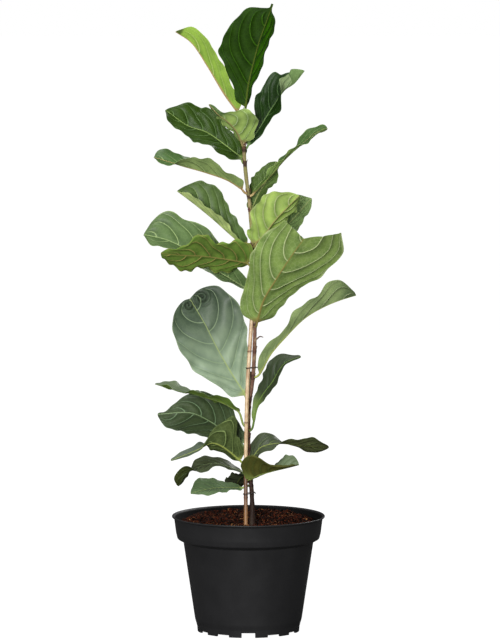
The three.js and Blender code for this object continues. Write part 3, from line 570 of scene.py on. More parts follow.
# The pot: a profile turned round its axis. The foot's edge is lifted between pairs of angles to make its
# notches, and the drain holes are cut last.
def makePot():
    p, wall = pot, pot["wall"]
    footInner = p["footRadius"] - p["footWall"]
    floorTop = p["floorUnder"] + wall
    under = [(footInner - 1, p["floorUnder"], 0.5), (footInner, 0, 0), (p["footRadius"], 0, 0)]
    names = ["footTop", "bodyBottom", "bodyTop", "bandBottom", "bandCrease", "bandTop"]
    outside = [p[name] for name in names]
    lip = [(p["rimRadius"] + r, p["height"] + z, ease) for r, z, ease in p["lip"]]
    rise, ease = p["lipInner"]
    lip.append((p["bandTop"][0] - wall, p["bandTop"][1] + rise, ease))
    # the inner wall goes down the same corners a wall further in, and over the band's step a wall higher
    inside = [(p[name][0] - wall, p[name][1] + (wall if name in ("bandBottom", "bodyTop") else 0), 1)
              for name in names[4:0:-1]]
    up, inward = p["floorCorner"]
    inside += [(p["footTop"][0] - wall, floorTop + up, 1), (p["footTop"][0] - wall - inward, floorTop, 1)]
    start, end = (p["middle"], p["floorUnder"], 0), (p["middle"], floorTop, 0)
    corners = [start] + under + outside + lip + inside + [end]
    profile = roundedProfile(corners)
    step = 2 * np.pi / p["sides"]
    turn = np.arange(p["sides"]) * step
    notchHalf = math.radians(p["notchAngle"] / 2)
    middles = np.arange(p["notches"]) * 2 * np.pi / p["notches"] - np.pi / 2
    edges = np.concatenate([middles - notchHalf, middles + notchHalf])
    pairs = np.concatenate([edges - 1e-4, edges + 1e-4]) % (2 * np.pi)
    turn = np.unique(np.concatenate([turn, pairs]))
    off = (turn[:, None] - middles[None] + np.pi) % (2 * np.pi) - np.pi
    inNotch = np.abs(off) < notchHalf
    deep = np.arange(p["notches"]) % p["deepEvery"] == 0
    depth = np.where(deep, p["deepNotch"], p["shallowNotch"])
    lift = (inNotch * depth).max(1)
    x, y = profile[:, :1] * np.cos(turn), profile[:, :1] * np.sin(turn)
    z = np.repeat(profile[:, 1:], len(turn), 1)
    foot = profile[:, 1] < 0.01
    z[foot] = lift
    flat, triangles = closedTube(np.stack([x, y, z], -1), [0, 0, p["floorUnder"]], [0, 0, floorTop])
    piece = meshObject("pot_shell", flat, triangles, [potPlastic], sharpAngle=35)

    # the drain holes: a ring of short rods cut out of the floor
    cuts = []
    for number in range(p["drains"]):
        angle = 2 * np.pi * number / p["drains"]
        place = np.array([math.cos(angle), math.sin(angle), 0]) * p["drainCircle"]
        ends = [[0, 0, p["floorUnder"] - p["drainOver"]], [0, 0, floorTop + p["drainOver"]]]
        path = place + np.array(ends)
        rings = tubePoints(path, np.full(2, p["drainRadius"]), p["drainSides"])
        cuts.append(closedTube(rings, path[0], path[1]))
    rods = meshObject("drain_rods", *joined(cuts), [potPlastic])
    cut = piece.modifiers.new("drainHoles", "BOOLEAN")
    cut.operation, cut.solver, cut.object = "DIFFERENCE", "MANIFOLD", rods
    graph = bpy.context.evaluated_depsgraph_get()
    piece.data = bpy.data.meshes.new_from_object(piece.evaluated_get(graph))
    piece.modifiers.clear()
    bpy.data.objects.remove(rods)
    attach(piece, "root")
    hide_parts("pot")


# Each leaf hangs on the stem at a height, and its blade runs along a midrib of points from base to tip. faces
# is the way its upper side faces, or the ways at its base and its tip, and twist the stretch where it turns.
# left and right are its half widths at stations, its upper side up and its tip ahead. fold is how far each
# half stands up (foldTip at the tip). Millimetres and degrees. What most leaves share:
usualLeaf = {
    "stations": [0.15, 0.3, 0.45, 0.6, 0.75, 0.9, 1], "twist": [0.1, 0.9], "waves": 3, "ripple": 1.2,
    "lobe": 6, "notch": [0, 0], "shoulder": [0, 0], "edgePower": 1.4, "tipLength": 0.14, "quilt": 1,
    # side veins on each half, how far forward they reach, and the power by which they bend forward
    "veins": 6, "veinReach": 0.36, "veinBend": 1.7, "rim": {}, "swirls": [], "patches": [],
}
noRim = {"width": 0, "from": (0, 1), "to": (0, 1), "angle": 0}
blade = {
    "rootHalfWidth": 2.4, "nearRoot": 0.04, "nearRootShare": 0.75, "curl": 10, "foldFrom": 0.3,
    "lobe": {"length": 0.34, "power": 1.5}, "notch": {"from": 0.6, "power": 1.5},
    "waveOffset": 0.37, "waveFullWidth": 20, "fullLean": 1 / 3, "sectionAngle": 75, "roundLength": 0.12,
    "step": 1.35, "endRows": 1.12, "thickness": 0.8, "rimThickness": 0.36, "thinFrom": 0.7,
    # the midrib's ridge below, and the side veins, which stand out below and are sunk a little above
    "ridge": 1.3, "ribHalf": 2.2, "ribTaper": 1.4, "veinRidge": 0.35, "veinHalf": 0.9, "veinSink": 0.12,
    "veinForward": 0.85, "veinPhases": (0.1, 0.55), "veinLeastWidth": 8, "veinStart": (0, 3),
    # bulges between the veins, which are calmer where veins crowd, with lumps, ripples and swirls
    "bulge": 3.2, "bulgeRise": (1.5, 9), "calm": (3, 17), "scallop": 0.025, "ripples": 7, "lumpSize": 24,
    "lump": 2.2, "swirlGap": 7, "swirlHeight": 1.4, "swirlShade": 0.6,
    "tipPower": 2.6, "tipRound": 1.5, "tipDraw": 0.9997, "rimBend": 1.5, "rimMost": 0.45,
    "petioleRadius": 1.7, "petioleBend": {"root": 0.35, "base": 0.4}, "petioleRows": 14, "rootDepth": 0.8,
    "petioleFlare": 0.28, "flareLength": 0.16, "petioleTurn": (0, 0.45), "petioleSpacing": 20.0,
    "petioleFade": (-0.03, 0.005),
}


# The stem's centre and radius at a height
def stemAt(height):
    fine = np.linspace(0, 1, 2001)
    centres = splineAt(stemPoints, fine)
    share = np.interp(height, centres[:, 2], fine)
    return splineAt(stemPoints, np.array([share]))[0], float(stemRadiusAt(share))


# Half widths: a cubic through the root's half width, a share of the leaf's first width near the root, and
# the leaf's widths at its stations
def halfWidths(leaf, side, s):
    widths = leaf[side]
    at = [0, blade["nearRoot"]] + leaf["stations"]
    return throughKnots(at, [blade["rootHalfWidth"], widths[0] * blade["nearRootShare"]] + widths, s)


# How much of each half's rim curls over at s, in millimetres, and by what angle
def rimCurl(leaf, s):
    widths, angles = [], []
    for side in ("left", "right"):
        rim = leaf["rim"].get(side, noRim)
        widths.append(rim["width"] * smoothStep(s, *rim["from"]) * (1 - smoothStep(s, *rim["to"])))
        angles.append(math.radians(rim["angle"]))
    return np.stack(widths, 1), np.array(angles)


# The blade's two faces on a grid of s along the midrib and v across, from -1 at the left edge to 1 at the
# right: a point is the midrib's point, plus the half's arc across it, plus waves, bulges between the veins,
# and a lobe or notch. The end is drawn in by a superellipse, (1 - x^p)^(1/p).
def bladeFaces(leaf, s, v, seed):
    point, along, length = splineByLength(leaf["midrib"], s)
    ways = unitVector(np.array(leaf["faces"], float))
    turned = smoothStep(s, *leaf["twist"])[:, None]
    left = unitVector(np.cross(ways[0] * (1 - turned) + ways[-1] * turned, along))
    face = np.cross(along, left)

    half = (v > 0).astype(int)
    hand = 1 - 2 * half
    reach = np.abs(v)
    sides = np.stack([halfWidths(leaf, "left", s), halfWidths(leaf, "right", s)], 1)
    tipWidth = max(leaf["left"][-1], leaf["right"][-1])
    roundFrom = 1 - min(leaf["tipLength"], blade["tipRound"] * tipWidth / length)
    ending = np.clip((s - roundFrom) / max(1 - roundFrom, 1e-6), 0, 1)[:, None]
    rounding = (1 - blade["tipDraw"] * ending ** blade["tipPower"]) ** (1 / blade["tipPower"])

    # the vein coordinate grows by one from each side vein to the next
    veins, veinReach, veinBend = leaf["veins"], leaf["veinReach"], leaf["veinBend"]
    forward = s[:, None] ** blade["veinForward"]
    shifted = veinReach * reach ** veinBend
    coordinate = [veins * (forward - shifted) + phase for phase in blade["veinPhases"]]
    own = np.where(half == 0, coordinate[0], coordinate[1])
    between = own - np.floor(own)

    width = sides[:, half] * rounding
    # the gap between two veins, measured square to them: their slope is how fast they reach forward
    leastWidth = np.maximum(width, blade["veinLeastWidth"])
    slope = veinReach * veinBend * reach ** (veinBend - 1) * length / leastWidth
    spacing = length / veins / np.sqrt(1 + slope ** 2)
    width = width * (1 + blade["scallop"] * np.cos(2 * np.pi * (own - 0.5)) * reach ** 4)
    foldTip = leaf.get("foldTip", leaf["fold"])
    bent = smoothStep(s, blade["foldFrom"], 1)[:, None]
    fold = np.radians(np.array(leaf["fold"])[half] * (1 - bent) + np.array(foldTip)[half] * bent)
    curl = math.radians(blade["curl"])
    rimWidth, rimAngle = rimCurl(leaf, s)
    rimShare = np.minimum(blade["rimMost"], rimWidth[:, half] / np.maximum(width, 1))
    flatReach = np.minimum(reach, 1 - rimShare)
    tilt = fold + curl * flatReach
    across = width * (np.sin(tilt) - np.sin(fold)) / curl
    lift = width * (np.cos(fold) - np.cos(tilt)) / curl
    # past flatReach the rim bends round a small radius and then goes straight on
    rim = width * (reach - flatReach)
    bend = np.minimum(rim / blade["rimBend"], rimAngle[half])
    out = blade["rimBend"] * np.sin(bend) + (rim - blade["rimBend"] * bend) * np.cos(bend)
    up = blade["rimBend"] * (1 - np.cos(bend)) + (rim - blade["rimBend"] * bend) * np.sin(bend)
    across = across + out * np.cos(tilt) - up * np.sin(tilt)
    lift = lift + out * np.sin(tilt) + up * np.cos(tilt)
    fullWave = np.minimum(1, width / blade["waveFullWidth"])
    cycle = 2 * np.pi * (leaf["waves"] * s[:, None] + leaf["phase"] + blade["waveOffset"] * half)
    lift = lift + leaf["wave"] * reach ** 2 * np.sin(cycle) * fullWave
    rippleTurn = blade["ripples"] * cycle / leaf["waves"] + 2 * seed
    lift += leaf["ripple"] * reach ** 5 * fullWave * np.sin(rippleTurn)

    inner = smoothStep(reach * width, *blade["bulgeRise"]) * (1 - reach ** 4) * fullWave
    calm = smoothStep(spacing, *blade["calm"])
    lift += blade["bulge"] * leaf["quilt"] * inner * calm * (1 - (2 * between - 1) ** 2 - 0.5)
    place = s[:, None] * length
    lumps = planeNoise(place + 40 * seed, hand * across, blade["lumpSize"], seed)
    lift += blade["lump"] * fullWave * reach * lumps

    reachBack = leaf["lobe"] * np.maximum(0, 1 - s / blade["lobe"]["length"]) ** blade["lobe"]["power"]
    past = (s - blade["notch"]["from"]) / (1 - blade["notch"]["from"])
    reachOn = np.maximum(0, past) ** blade["notch"]["power"]
    notch = np.array(leaf["notch"])[half]
    shoulder = np.array(leaf["shoulder"])[half] * sides[:, half] / sides.max()
    edge = reach ** leaf["edgePower"]
    shift = ((notch + shoulder) * reachOn[:, None] * rounding - reachBack[:, None]) * edge

    # swirls: rings of low bumps round a point on the blade, with painted shade where they dip
    dips = np.zeros_like(lift)
    for ahead, side, radius in leaf["swirls"]:
        dx, dy = s[:, None] * length + shift - ahead, hand * across - side
        far = np.sqrt(dx * dx + dy * dy)
        wave = np.cos(2 * np.pi * far / blade["swirlGap"] - np.arctan2(dy, dx))
        near = np.exp(-(far / radius) ** 4)
        lift += blade["swirlHeight"] * wave * near
        dips += near * (1 - wave) / 2

    spread = lambda a: a[:, None, :]
    middle = spread(point) + spread(left) * (hand * across)[..., None]
    middle = middle + spread(face) * lift[..., None] + spread(along) * shift[..., None]
    lean = tilt * np.minimum(1, reach / blade["fullLean"]) + bend
    normal = spread(face) * np.cos(lean)[..., None] - spread(left) * (hand * np.sin(lean))[..., None]

    thick, rimThick = blade["thickness"], blade["rimThickness"]
    thin = (thick + (rimThick - thick) * smoothStep(reach, blade["thinFrom"], 1)) / 2
    nearRoot = np.maximum(0, 1 - s / blade["roundLength"])[:, None]
    section = np.cos(np.radians(v * blade["sectionAngle"]))
    stalk = blade["petioleRadius"] * section * nearRoot
    ribHalf = blade["ribHalf"] - blade["ribTaper"] * s[:, None]
    rib = blade["ridge"] * (1 - s[:, None]) * np.exp(-(across / ribHalf) ** 2)
    veinDistance = (0.5 - np.abs(between - 0.5)) * spacing
    veinRidge = blade["veinRidge"] * np.exp(-(veinDistance / blade["veinHalf"]) ** 2)
    veinRidge = veinRidge * (1 - reach ** 2) * smoothStep(across, *blade["veinStart"]) * calm
    thicker = lambda a, b: (a ** 4 + np.maximum(b, 0) ** 4) ** 0.25
    top = middle + normal * thicker(thin - blade["veinSink"] * veinRidge, stalk)[..., None]
    under = middle - normal * thicker(thin + rib + veinRidge, stalk)[..., None]
    return top, under, coordinate, across, spacing, dips, face[0], along[0]


# One leaf as a closed skin: rings round the petiole and then round the blade, each ring the upper side's
# points from left to right and then the under side's back again
def makeLeaf(index, leaf):
    leaf = {**usualLeaf, **leaf}
    seed = index + 1
    name = "leaf_%02d" % seed
    length = splineByLength(leaf["midrib"], np.array([0.0]))[2]
    rows = int(length / blade["step"])
    halfColumns = int(max(leaf["left"] + leaf["right"]) / blade["step"])
    even = np.linspace(0, 1, rows)
    s = 1 - (1 - even) ** blade["endRows"]
    v = np.linspace(-1, 1, 2 * halfColumns + 1)
    top, under, coordinate, across, spacing, dips, face, along = bladeFaces(leaf, s, v, seed)

    # the petiole leaves the stem level and bends into the midrib, a cubic Bezier curve
    base = splineAt(leaf["midrib"], np.array([0.0]))[0]
    centre, radius = stemAt(leaf["at"])
    outward = base - centre
    outward[2] = 0
    outward = unitVector(outward)
    root = centre + outward * (radius - blade["rootDepth"])
    span = np.linalg.norm(base - root)
    nodes = [root, root + outward * span * blade["petioleBend"]["root"],
             base - along * span * blade["petioleBend"]["base"], base]
    t = np.linspace(0, 1, blade["petioleRows"])[:-1, None]
    u = 1 - t
    line = nodes[0] * u ** 3 + 3 * nodes[1] * t * u * u + 3 * nodes[2] * t * t * u + nodes[3] * t ** 3
    first, second, third = nodes[1] - nodes[0], nodes[2] - nodes[1], nodes[3] - nodes[2]
    slope = unitVector(first * u * u + 2 * second * t * u + third * t * t)
    turned = smoothStep(t, *blade["petioleTurn"])
    facing = np.array([0, 0, 1.0]) * (1 - turned) + face * turned
    stalkLeft = unitVector(np.cross(facing, slope))
    stalkFace = np.cross(slope, stalkLeft)
    turn = np.radians(v * blade["sectionAngle"])[None, :, None]
    flare = blade["petioleFlare"] * np.exp(-(t / blade["flareLength"]) ** 2)
    thick = blade["petioleRadius"] * (1 + flare)[:, None]
    sideways = line[:, None] - stalkLeft[:, None] * np.sin(turn) * thick
    stalkTop = sideways + stalkFace[:, None] * np.cos(turn) * thick
    stalkUnder = sideways - stalkFace[:, None] * np.cos(turn) * thick

    columns = len(v)
    ring = 2 * columns
    points = np.concatenate([
        np.concatenate([stalkTop, stalkUnder[:, ::-1]], 1), np.concatenate([top, under[:, ::-1]], 1)])
    total = len(points)
    body = gridTriangles(total, ring, True)
    flip = lambda k: ring - 1 - k
    j = np.arange(columns - 1)
    end = (total - 1) * ring
    startCap = np.stack([j, flip(j), flip(j + 1), j, flip(j + 1), j + 1], -1).reshape(-1, 3)
    endCap = end + np.stack([j, j + 1, flip(j + 1), j, flip(j + 1), flip(j)], -1).reshape(-1, 3)
    triangles = np.concatenate([body, startCap, endCap])

    # values at the points: the same layout as the rings, with one value on the whole petiole
    around = lambda a: np.concatenate([a, a[:, ::-1]], 1)
    stalkRows = len(t)
    whole = lambda a, value=0.0: np.concatenate([np.full((stalkRows, ring), value), around(a)])
    along01 = np.concatenate([np.full(stalkRows, -1.0) + t[:, 0], s])
    sAll = np.repeat(along01[:, None], ring, 1)
    vAll = np.repeat(np.concatenate([v, v[::-1]])[None], total, 0)
    underAll = np.repeat(np.concatenate([np.zeros(columns), np.ones(columns)])[None], total, 0)
    stalkAll = smoothStep(-sAll, *blade["petioleFade"])
    colours = {key: np.array(linearColour(leaf[key])) for key in ("top", "under", "rib", "vein")}
    tint = colours["top"] * (1 - underAll[..., None]) + colours["under"] * underAll[..., None]
    for patch in leaf["patches"]:
        side = 1.0 if "side" not in patch else (np.sign(vAll) == patch["side"])
        share = smoothStep(sAll, *patch["along"]) * side * patch["amount"]
        share = (share * (underAll == patch.get("under", 0)))[..., None]
        tint = tint * (1 - share) + np.array(linearColour(patch["colour"])) * share
    tint = tint * (1 - blade["swirlShade"] * whole(dips)[..., None])
    tint = tint * (1 - stalkAll[..., None]) + colours["rib"] * stalkAll[..., None]

    both = [whole(c).ravel() for c in coordinate]
    faceRight = (vAll.ravel()[triangles].sum(1) > 0)[:, None]
    veinCoordinate = np.where(faceRight, both[1][triangles], both[0][triangles])
    reachCoordinate = np.abs(vAll.ravel()[triangles])
    veinMap = np.stack([veinCoordinate, reachCoordinate], -1).reshape(-1, 2)
    piece = meshObject(
        name + "_blade", points.reshape(-1, 3), triangles, leafMaterials,
        {"tint": tint.reshape(-1, 4), "ribTint": np.repeat(colours["rib"][None], total * ring, 0),
         "veinTint": np.repeat(colours["vein"][None], total * ring, 0),
         "veinSpacing": whole(spacing, blade["petioleSpacing"]).ravel(),
         "netting": np.full(total * ring, leaf["quilt"]), "ribDistance": whole(across).ravel(),
         "along": sAll.ravel()},
        {"veinMap": veinMap}, slots=underAll.ravel()[triangles].mean(1) > 0.5)
    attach(piece, "root")
    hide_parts(name)
    return piece


# Each leaf's top, under, rib and vein colours are sRGB hex set one by one; some under colours are partly
# painted shade, darker where the under side hangs in shade, as leaf_01's does
leafShapes = [
    {"at": 792, "faces": [[-0.6, 0.79, 0.3]], "fold": [26, 32],
     "midrib": [[-4, -10, 825], [0, -13, 858], [9, -18, 897], [18, -24, 929], [38, -34, 984]],
     "stations": [0.15, 0.3, 0.45, 0.6, 0.75, 0.85, 0.91, 0.95, 1],
     "left": [20, 36, 47, 51, 44, 28, 11, 3.5, 3], "right": [22, 41, 56, 55, 45, 31, 13, 3.5, 3],
     "wave": 1.5, "waves": 2, "phase": 0.2, "lobe": 1, "shoulder": [4, 26], "veins": 5.5, "veinReach": 0.5,
     "patches": [{"along": (0, 0.2), "side": -1, "under": 1, "colour": "3c7408", "amount": 0.75}],
     "top": "3b6a10", "under": "1d3704", "rib": "4c5c18", "vein": "3a6410"},
    {"at": 797, "faces": [[0.78, 0.35, 0.57]], "fold": [48, 48],
     "midrib": [[-19, 0, 818], [-36.6, -7, 842], [-64, -18, 888], [-88.6, -27, 924], [-113, -31, 941]],
     "left": [17, 19, 22, 23, 25, 19, 3], "right": [15, 17, 20, 21, 22, 16, 3],
     "wave": 1, "waves": 2, "phase": 0.4, "lobe": 3, "ripple": 0.5, "quilt": 0.3, "veins": 4,
     "veinReach": 0.6,
     "patches": [{"along": (0.93, 0.96), "under": 1, "colour": "35461c", "amount": 0.9}],
     "top": "80a03b", "under": "83a542", "rib": "b49468", "vein": "b8cc78"},
    {"at": 757, "faces": [[-0.5, -0.7, 0.4], [-0.6, -0.5, 0.6]], "fold": [26, 10], "foldTip": [10, 100],
     "midrib": [[2, 8, 767], [15, 14, 785], [29, 22, 807], [45, 30, 831], [57, 40, 847], [72, 48, 857],
     [88, 56, 876]],
     "left": [10, 20, 33, 36, 38, 26, 4], "right": [12, 20, 34, 34, 26, 18, 3],
     "wave": 3, "phase": 0,
     "top": "132c04", "under": "bbd59a", "rib": "6c8a50", "vein": "4c6c38"},
    {"at": 762, "faces": [[0.5, 0.75, 0.4]], "fold": [20, 20],
     "midrib": [[-12, -9, 772], [-19, -22, 787], [-32, -36, 802], [-47, -48, 814], [-61, -54, 830]],
     "left": [27, 42, 42, 22, 8, 5, 2], "right": [20, 28, 28, 18, 8, 5, 2],
     "wave": 2.5, "phase": 0.6, "veins": 4.5, "veinReach": 0.45,
     "patches": [{"along": (0.62, 0.72), "under": 1, "colour": "3c5a30", "amount": 0.85}],
     "top": "4e7141", "under": "8ea85b", "rib": "a09060", "vein": "b4c890"},
    {"at": 735, "faces": [[0.2, -0.66, 0.7]], "fold": [12, 12],
     "midrib": [[-13, 7, 744], [-35, 16, 761], [-65, 28, 781], [-95, 38, 791], [-130, 46, 815]],
     "left": [22, 33, 40, 34, 22, 18, 3], "right": [25, 24, 37, 41, 39, 27, 3],
     "wave": 3, "phase": 0.3,
     "top": "29400b", "under": "8fa860", "rib": "8ca45c", "vein": "64824a"},
    {"at": 688, "faces": [[0.2, 0.35, 0.9], [0.1, -0.65, 0.75]], "twist": [0.55, 0.85], "fold": [30, 30],
     "midrib": [[-13, -3, 697], [-32, -8, 709], [-65, -12, 721], [-104, -14, 732], [-147, -14, 745]],
     "left": [16, 20, 28, 26, 21, 19, 12], "right": [16, 20, 26, 26, 20, 17, 12],
     "wave": 3, "phase": 0.1, "lobe": 4, "tipLength": 0.06,
     "top": "435f33", "under": "7c9159", "rib": "a88c5c", "vein": "9cb070"},
    {"at": 598, "faces": [[0.58, -0.47, 0.66]], "fold": [42, 42],
     "midrib": [[-7, -4, 607], [-25, -8, 622], [-55, -14, 649], [-83, -18, 672], [-111, -20, 693]],
     "left": [17, 25, 36, 41, 38, 24, 4], "right": [17, 25, 36, 41, 39, 30, 5],
     "wave": 2.5, "waves": 2, "phase": 0.5, "lobe": 4,
     "top": "4b6133", "under": "d9ed9c", "rib": "b8a868", "vein": "8ca468"},
    {"at": 684, "faces": [[-0.65, 0.07, 0.75], [-0.5, -0.25, 0.8]], "twist": [0.4, 0.8], "fold": [8, 8],
     "midrib": [[12, -3, 693], [34, -6, 716], [60, -10, 745], [85, -14, 767], [105, -17, 783],
     [123, -18, 790]],
     "left": [14, 17, 18, 18, 19, 19, 14], "right": [16, 20, 22, 26, 28, 28, 20],
     "wave": 2.5, "phase": 0, "tipLength": 0.05,
     "top": "3f5b2e", "under": "a2c36e", "rib": "b8a070", "vein": "a8bc78"},
    {"at": 658, "faces": [[-0.5, -0.7, 0.5]], "fold": [14, 14],
     "midrib": [[7, 7, 665], [15, 18, 683], [28, 34, 704], [44, 52, 734]],
     "left": [12, 18, 22, 23, 21, 13, 3], "right": [14, 20, 23, 24, 21, 13, 3],
     "wave": 2.5, "waves": 2, "phase": 0.2,
     "top": "49602b", "under": "8aa45c", "rib": "a0a868", "vein": "98b070"},
    {"at": 604, "faces": [[-0.45, 0.75, 0.45]], "fold": [20, 20],
     "midrib": [[14, -11, 614], [26, -20, 627], [41, -32, 648], [60, -42, 669], [79, -48, 688]],
     "left": [22, 32, 38, 36, 30, 18, 4], "right": [24, 33, 40, 41, 36, 24, 5],
     "wave": 3, "phase": 0.7, "lobe": 8, "veins": 4.2, "veinReach": 0.45,
     "top": "5d883b", "under": "9bb65f", "rib": "a89c60", "vein": "c0c890"},
    {"at": 588, "faces": [[-0.3, -0.75, 0.6]], "fold": [12, 12],
     "midrib": [[22, 12, 606], [43, 25.5, 620], [67, 40, 641], [99, 54, 676]],
     "left": [14, 22, 28, 30, 30, 26, 5], "right": [14, 20, 24, 24, 20, 12, 3],
     "wave": 3, "phase": 0.9,
     "top": "6d8650", "under": "8ba766", "rib": "a8b070", "vein": "a0b478"},
    {"at": 480, "faces": [[-0.1, 0.9, 0.3]], "fold": [8, 8],
     "midrib": [[15, -14, 494], [24, -26, 524], [41, -38, 554], [65, -50, 592], [86, -58, 622]],
     "left": [30, 38, 46, 57, 68, 73, 52], "right": [33, 37, 47, 55, 54, 47, 42],
     "wave": 4, "waves": 2, "phase": 0.35, "lobe": 8, "notch": [34, 8], "tipLength": 0, "edgePower": 0.9,
     "veins": 4.6, "veinReach": 0.62, "veinBend": 1.9,
     "top": "5d8148", "under": "6e8646", "rib": "8c8046", "vein": "c0cc94"},
    {"at": 530, "faces": [[0.32, -0.67, 0.67]], "fold": [24, 24],
     "midrib": [[-5, 7, 538], [-29, 24, 552], [-57, 42, 567], [-100, 58, 596], [-131, 66, 610],
     [-165, 72, 617]],
     "left": [20, 32, 44, 46, 42, 36, 5], "right": [20, 30, 40, 46, 45, 39, 6],
     "wave": 3, "phase": 0.15,
     "top": "52693e", "under": "86a660", "rib": "a4b87c", "vein": "a4b87c"},
    {"at": 573, "faces": [[0.1, 0.57, 0.82]], "fold": [6, -12],
     "midrib": [[-5, -7, 581], [-41, -18, 588], [-75, -28, 593], [-106, -36, 595], [-136, -42, 598]],
     "left": [44, 44, 40, 48, 30, 12, 3], "right": [30, 34, 38, 40, 40, 26, 4],
     "wave": 4, "waves": 2.5, "phase": 0.8, "lobe": 8, "ripple": 2.4,
     "rim": {"left": {"width": 5, "from": (0.05, 0.2), "to": (0.8, 0.95), "angle": 120}},
     "top": "507532", "under": "5f7d34", "rib": "9a9050", "vein": "a89a58"},
    {"at": 364, "faces": [[0.1, -0.9, 0.35]], "fold": [6, 6],
     "midrib": [[-8, 9, 376], [-26, 16, 403], [-51, 26, 446], [-68, 34, 479], [-92, 42, 519]],
     "left": [28, 46, 54, 58, 55, 42, 18], "right": [26, 40, 51, 60, 60, 50, 30],
     "wave": 3, "phase": 0.5, "notch": [6, 12], "tipLength": 0.1, "veins": 5,
     "swirls": [(161, 8, 12), (161, -17, 14)],
     # painted shade: the upper side darkens from a third of the way along towards the tip
     "patches": [{"along": (0.3, 0.95), "colour": "2c3c2c", "amount": 0.85}],
     "top": "84977e", "under": "8aa464", "rib": "9cac68", "vein": "94a880"},
    {"at": 400, "faces": [[-0.55, 0.4, 0.75], [-0.4, 0.4, 0.85]], "fold": [30, 30],
     "midrib": [[22, -4, 413], [35, -8, 437], [57, -12, 463], [88, -15, 494], [118, -17, 512],
     [142, -18, 522], [168, -18, 530]],
     "left": [18, 17, 20, 26, 32, 28, 8], "right": [15, 12, 18, 23, 32, 40, 20],
     "wave": 3, "phase": 0.3, "lobe": 8,
     "patches": [{"along": (0.88, 0.96), "under": 1, "colour": "46583a", "amount": 0.75}],
     "top": "5c834a", "under": "819662", "rib": "a8b060", "vein": "a4b080"},
    {"at": 316, "faces": [[-0.5, -0.75, 0.4], [-0.4, -0.6, 0.7]], "fold": [16, 16],
     "midrib": [[9, -8, 334], [13, -8, 355], [26, -12, 378], [38, -15, 394], [49, -18, 414], [59, -18, 425],
     [82, -18, 434]],
     "stations": [0.15, 0.29, 0.41, 0.54, 0.66, 0.79, 0.92, 1],
     "left": [6, 12, 16, 20, 21, 20, 7, 4], "right": [5, 11, 15, 17, 11, 6, 7, 4],
     "wave": 2, "waves": 2, "phase": 0.9, "lobe": 2,
     "patches": [{"along": (0.36, 0.1), "colour": "7a9448", "amount": 0.7}],
     "top": "2f3926", "under": "7d9a58", "rib": "66803e", "vein": "4c6440"},
    {"at": 322, "faces": [[0.3, 0.3, 0.9], [0.1, -0.12, 0.97]], "fold": [6, 4],
     "midrib": [[-19, -5, 349], [-41, -10, 361], [-76, -14, 372], [-110, -17, 381], [-146, -20, 391]],
     "left": [16, 22, 28, 32, 32, 24, 4], "right": [16, 22, 28, 32, 32, 24, 4],
     "wave": 2.5, "phase": 0.6,
     "top": "5a684f", "under": "688334", "rib": "98a860", "vein": "88a070"},
    {"at": 288, "faces": [[0.2, -0.75, 0.6]], "fold": [8, 8],
     "midrib": [[-13, 7, 296], [-36, 16, 311], [-63, 26, 328], [-91, 34, 339], [-143, 42, 336]],
     "left": [24, 34, 44, 46, 42, 28, 5], "right": [24, 36, 44, 39, 27, 5, 3],
     "wave": 2.5, "phase": 0.1,
     "top": "38462b", "under": "6f8a50", "rib": "88a070", "vein": "7c9870"},
    {"at": 262, "faces": [[0.3, 0.8, 0.45], [0.1, -0.5, 0.85]], "twist": [0.35, 0.65], "fold": [20, 10],
     "midrib": [[-17, -8, 273], [-34, -16, 288], [-46, -22, 296], [-58, -26, 299], [-81, -31, 288],
     [-121, -38, 273]],
     "stations": [0.15, 0.24, 0.33, 0.39, 0.47, 0.6, 0.85, 1],
     "left": [24, 34, 56, 38, 14, 9, 8, 3], "right": [14, 20, 22, 22, 20, 12, 8, 3],
     "wave": 1.5, "phase": 0.4, "ripple": 0.6,
     "rim": {"left": {"width": 7, "from": (0.15, 0.25), "to": (0.45, 0.6), "angle": 160}},
     "top": "475446", "under": "495730", "rib": "a0ac58", "vein": "8ca060"},
    {"at": 248, "faces": [[0.1, -0.25, 0.95], [-0.8, 0.5, 0.3]], "twist": [0.6, 0.85], "fold": [4, 8],
     "midrib": [[-13, -6, 252], [-32, -12, 260], [-57, -18, 266], [-83, -22, 258], [-98, -24, 250],
     [-110, -24, 231]],
     "left": [16, 22, 28, 30, 24, 20, 6], "right": [14, 19, 24, 20, 14, 18, 6],
     "wave": 1.5, "phase": 0.2, "lobe": 4, "ripple": 0.4,
     "top": "3b432c", "under": "444d25", "rib": "788858", "vein": "70845c"},
    {"at": 230, "faces": [[0, -0.33, 0.94]], "fold": [8, 8],
     "midrib": [[-14, -12, 226], [-37, -20, 228], [-63, -30, 227], [-90, -38, 221]],
     "left": [12, 18, 24, 28, 26, 15, 3], "right": [12, 18, 24, 28, 26, 15, 3],
     "wave": 1.5, "phase": 0.6, "lobe": 4, "ripple": 0.5,
     "top": "59704d", "under": "6f8a50", "rib": "94a860", "vein": "94a870"},
    {"at": 238, "faces": [[0, 0.4, 0.9]], "fold": [8, 8],
     "midrib": [[-4, 2, 244], [-10, 16, 241], [-16, 34, 231], [-20, 54, 217]],
     "left": [12, 15, 18, 20, 20, 14, 3], "right": [12, 15, 18, 20, 20, 14, 3],
     "wave": 2.5, "phase": 0.3, "lobe": 4,
     "top": "324223", "under": "393f2f", "rib": "5c6a38", "vein": "4c5c34"},
    {"at": 266, "faces": [[-0.3, -0.5, 0.8], [0, 0.35, 0.93]], "twist": [0.25, 0.55], "fold": [10, 10],
     "foldTip": [-14, 4],
     "midrib": [[9, -12, 276], [19, -14, 290], [46, -14, 297], [88, -13, 293], [126, -14, 291]],
     "left": [22, 22, 14, 23, 28, 24, 8], "right": [22, 22, 15, 22, 28, 24, 8],
     "wave": 1.5, "phase": 0.5, "lobe": 9, "ripple": 0.4,
     "top": "404937", "under": "4e5437", "rib": "8c9850", "vein": "74884c"},
    {"at": 242, "faces": [[0.2, 0.6, 0.8], [0, -0.1, 0.95]], "fold": [34, 22],
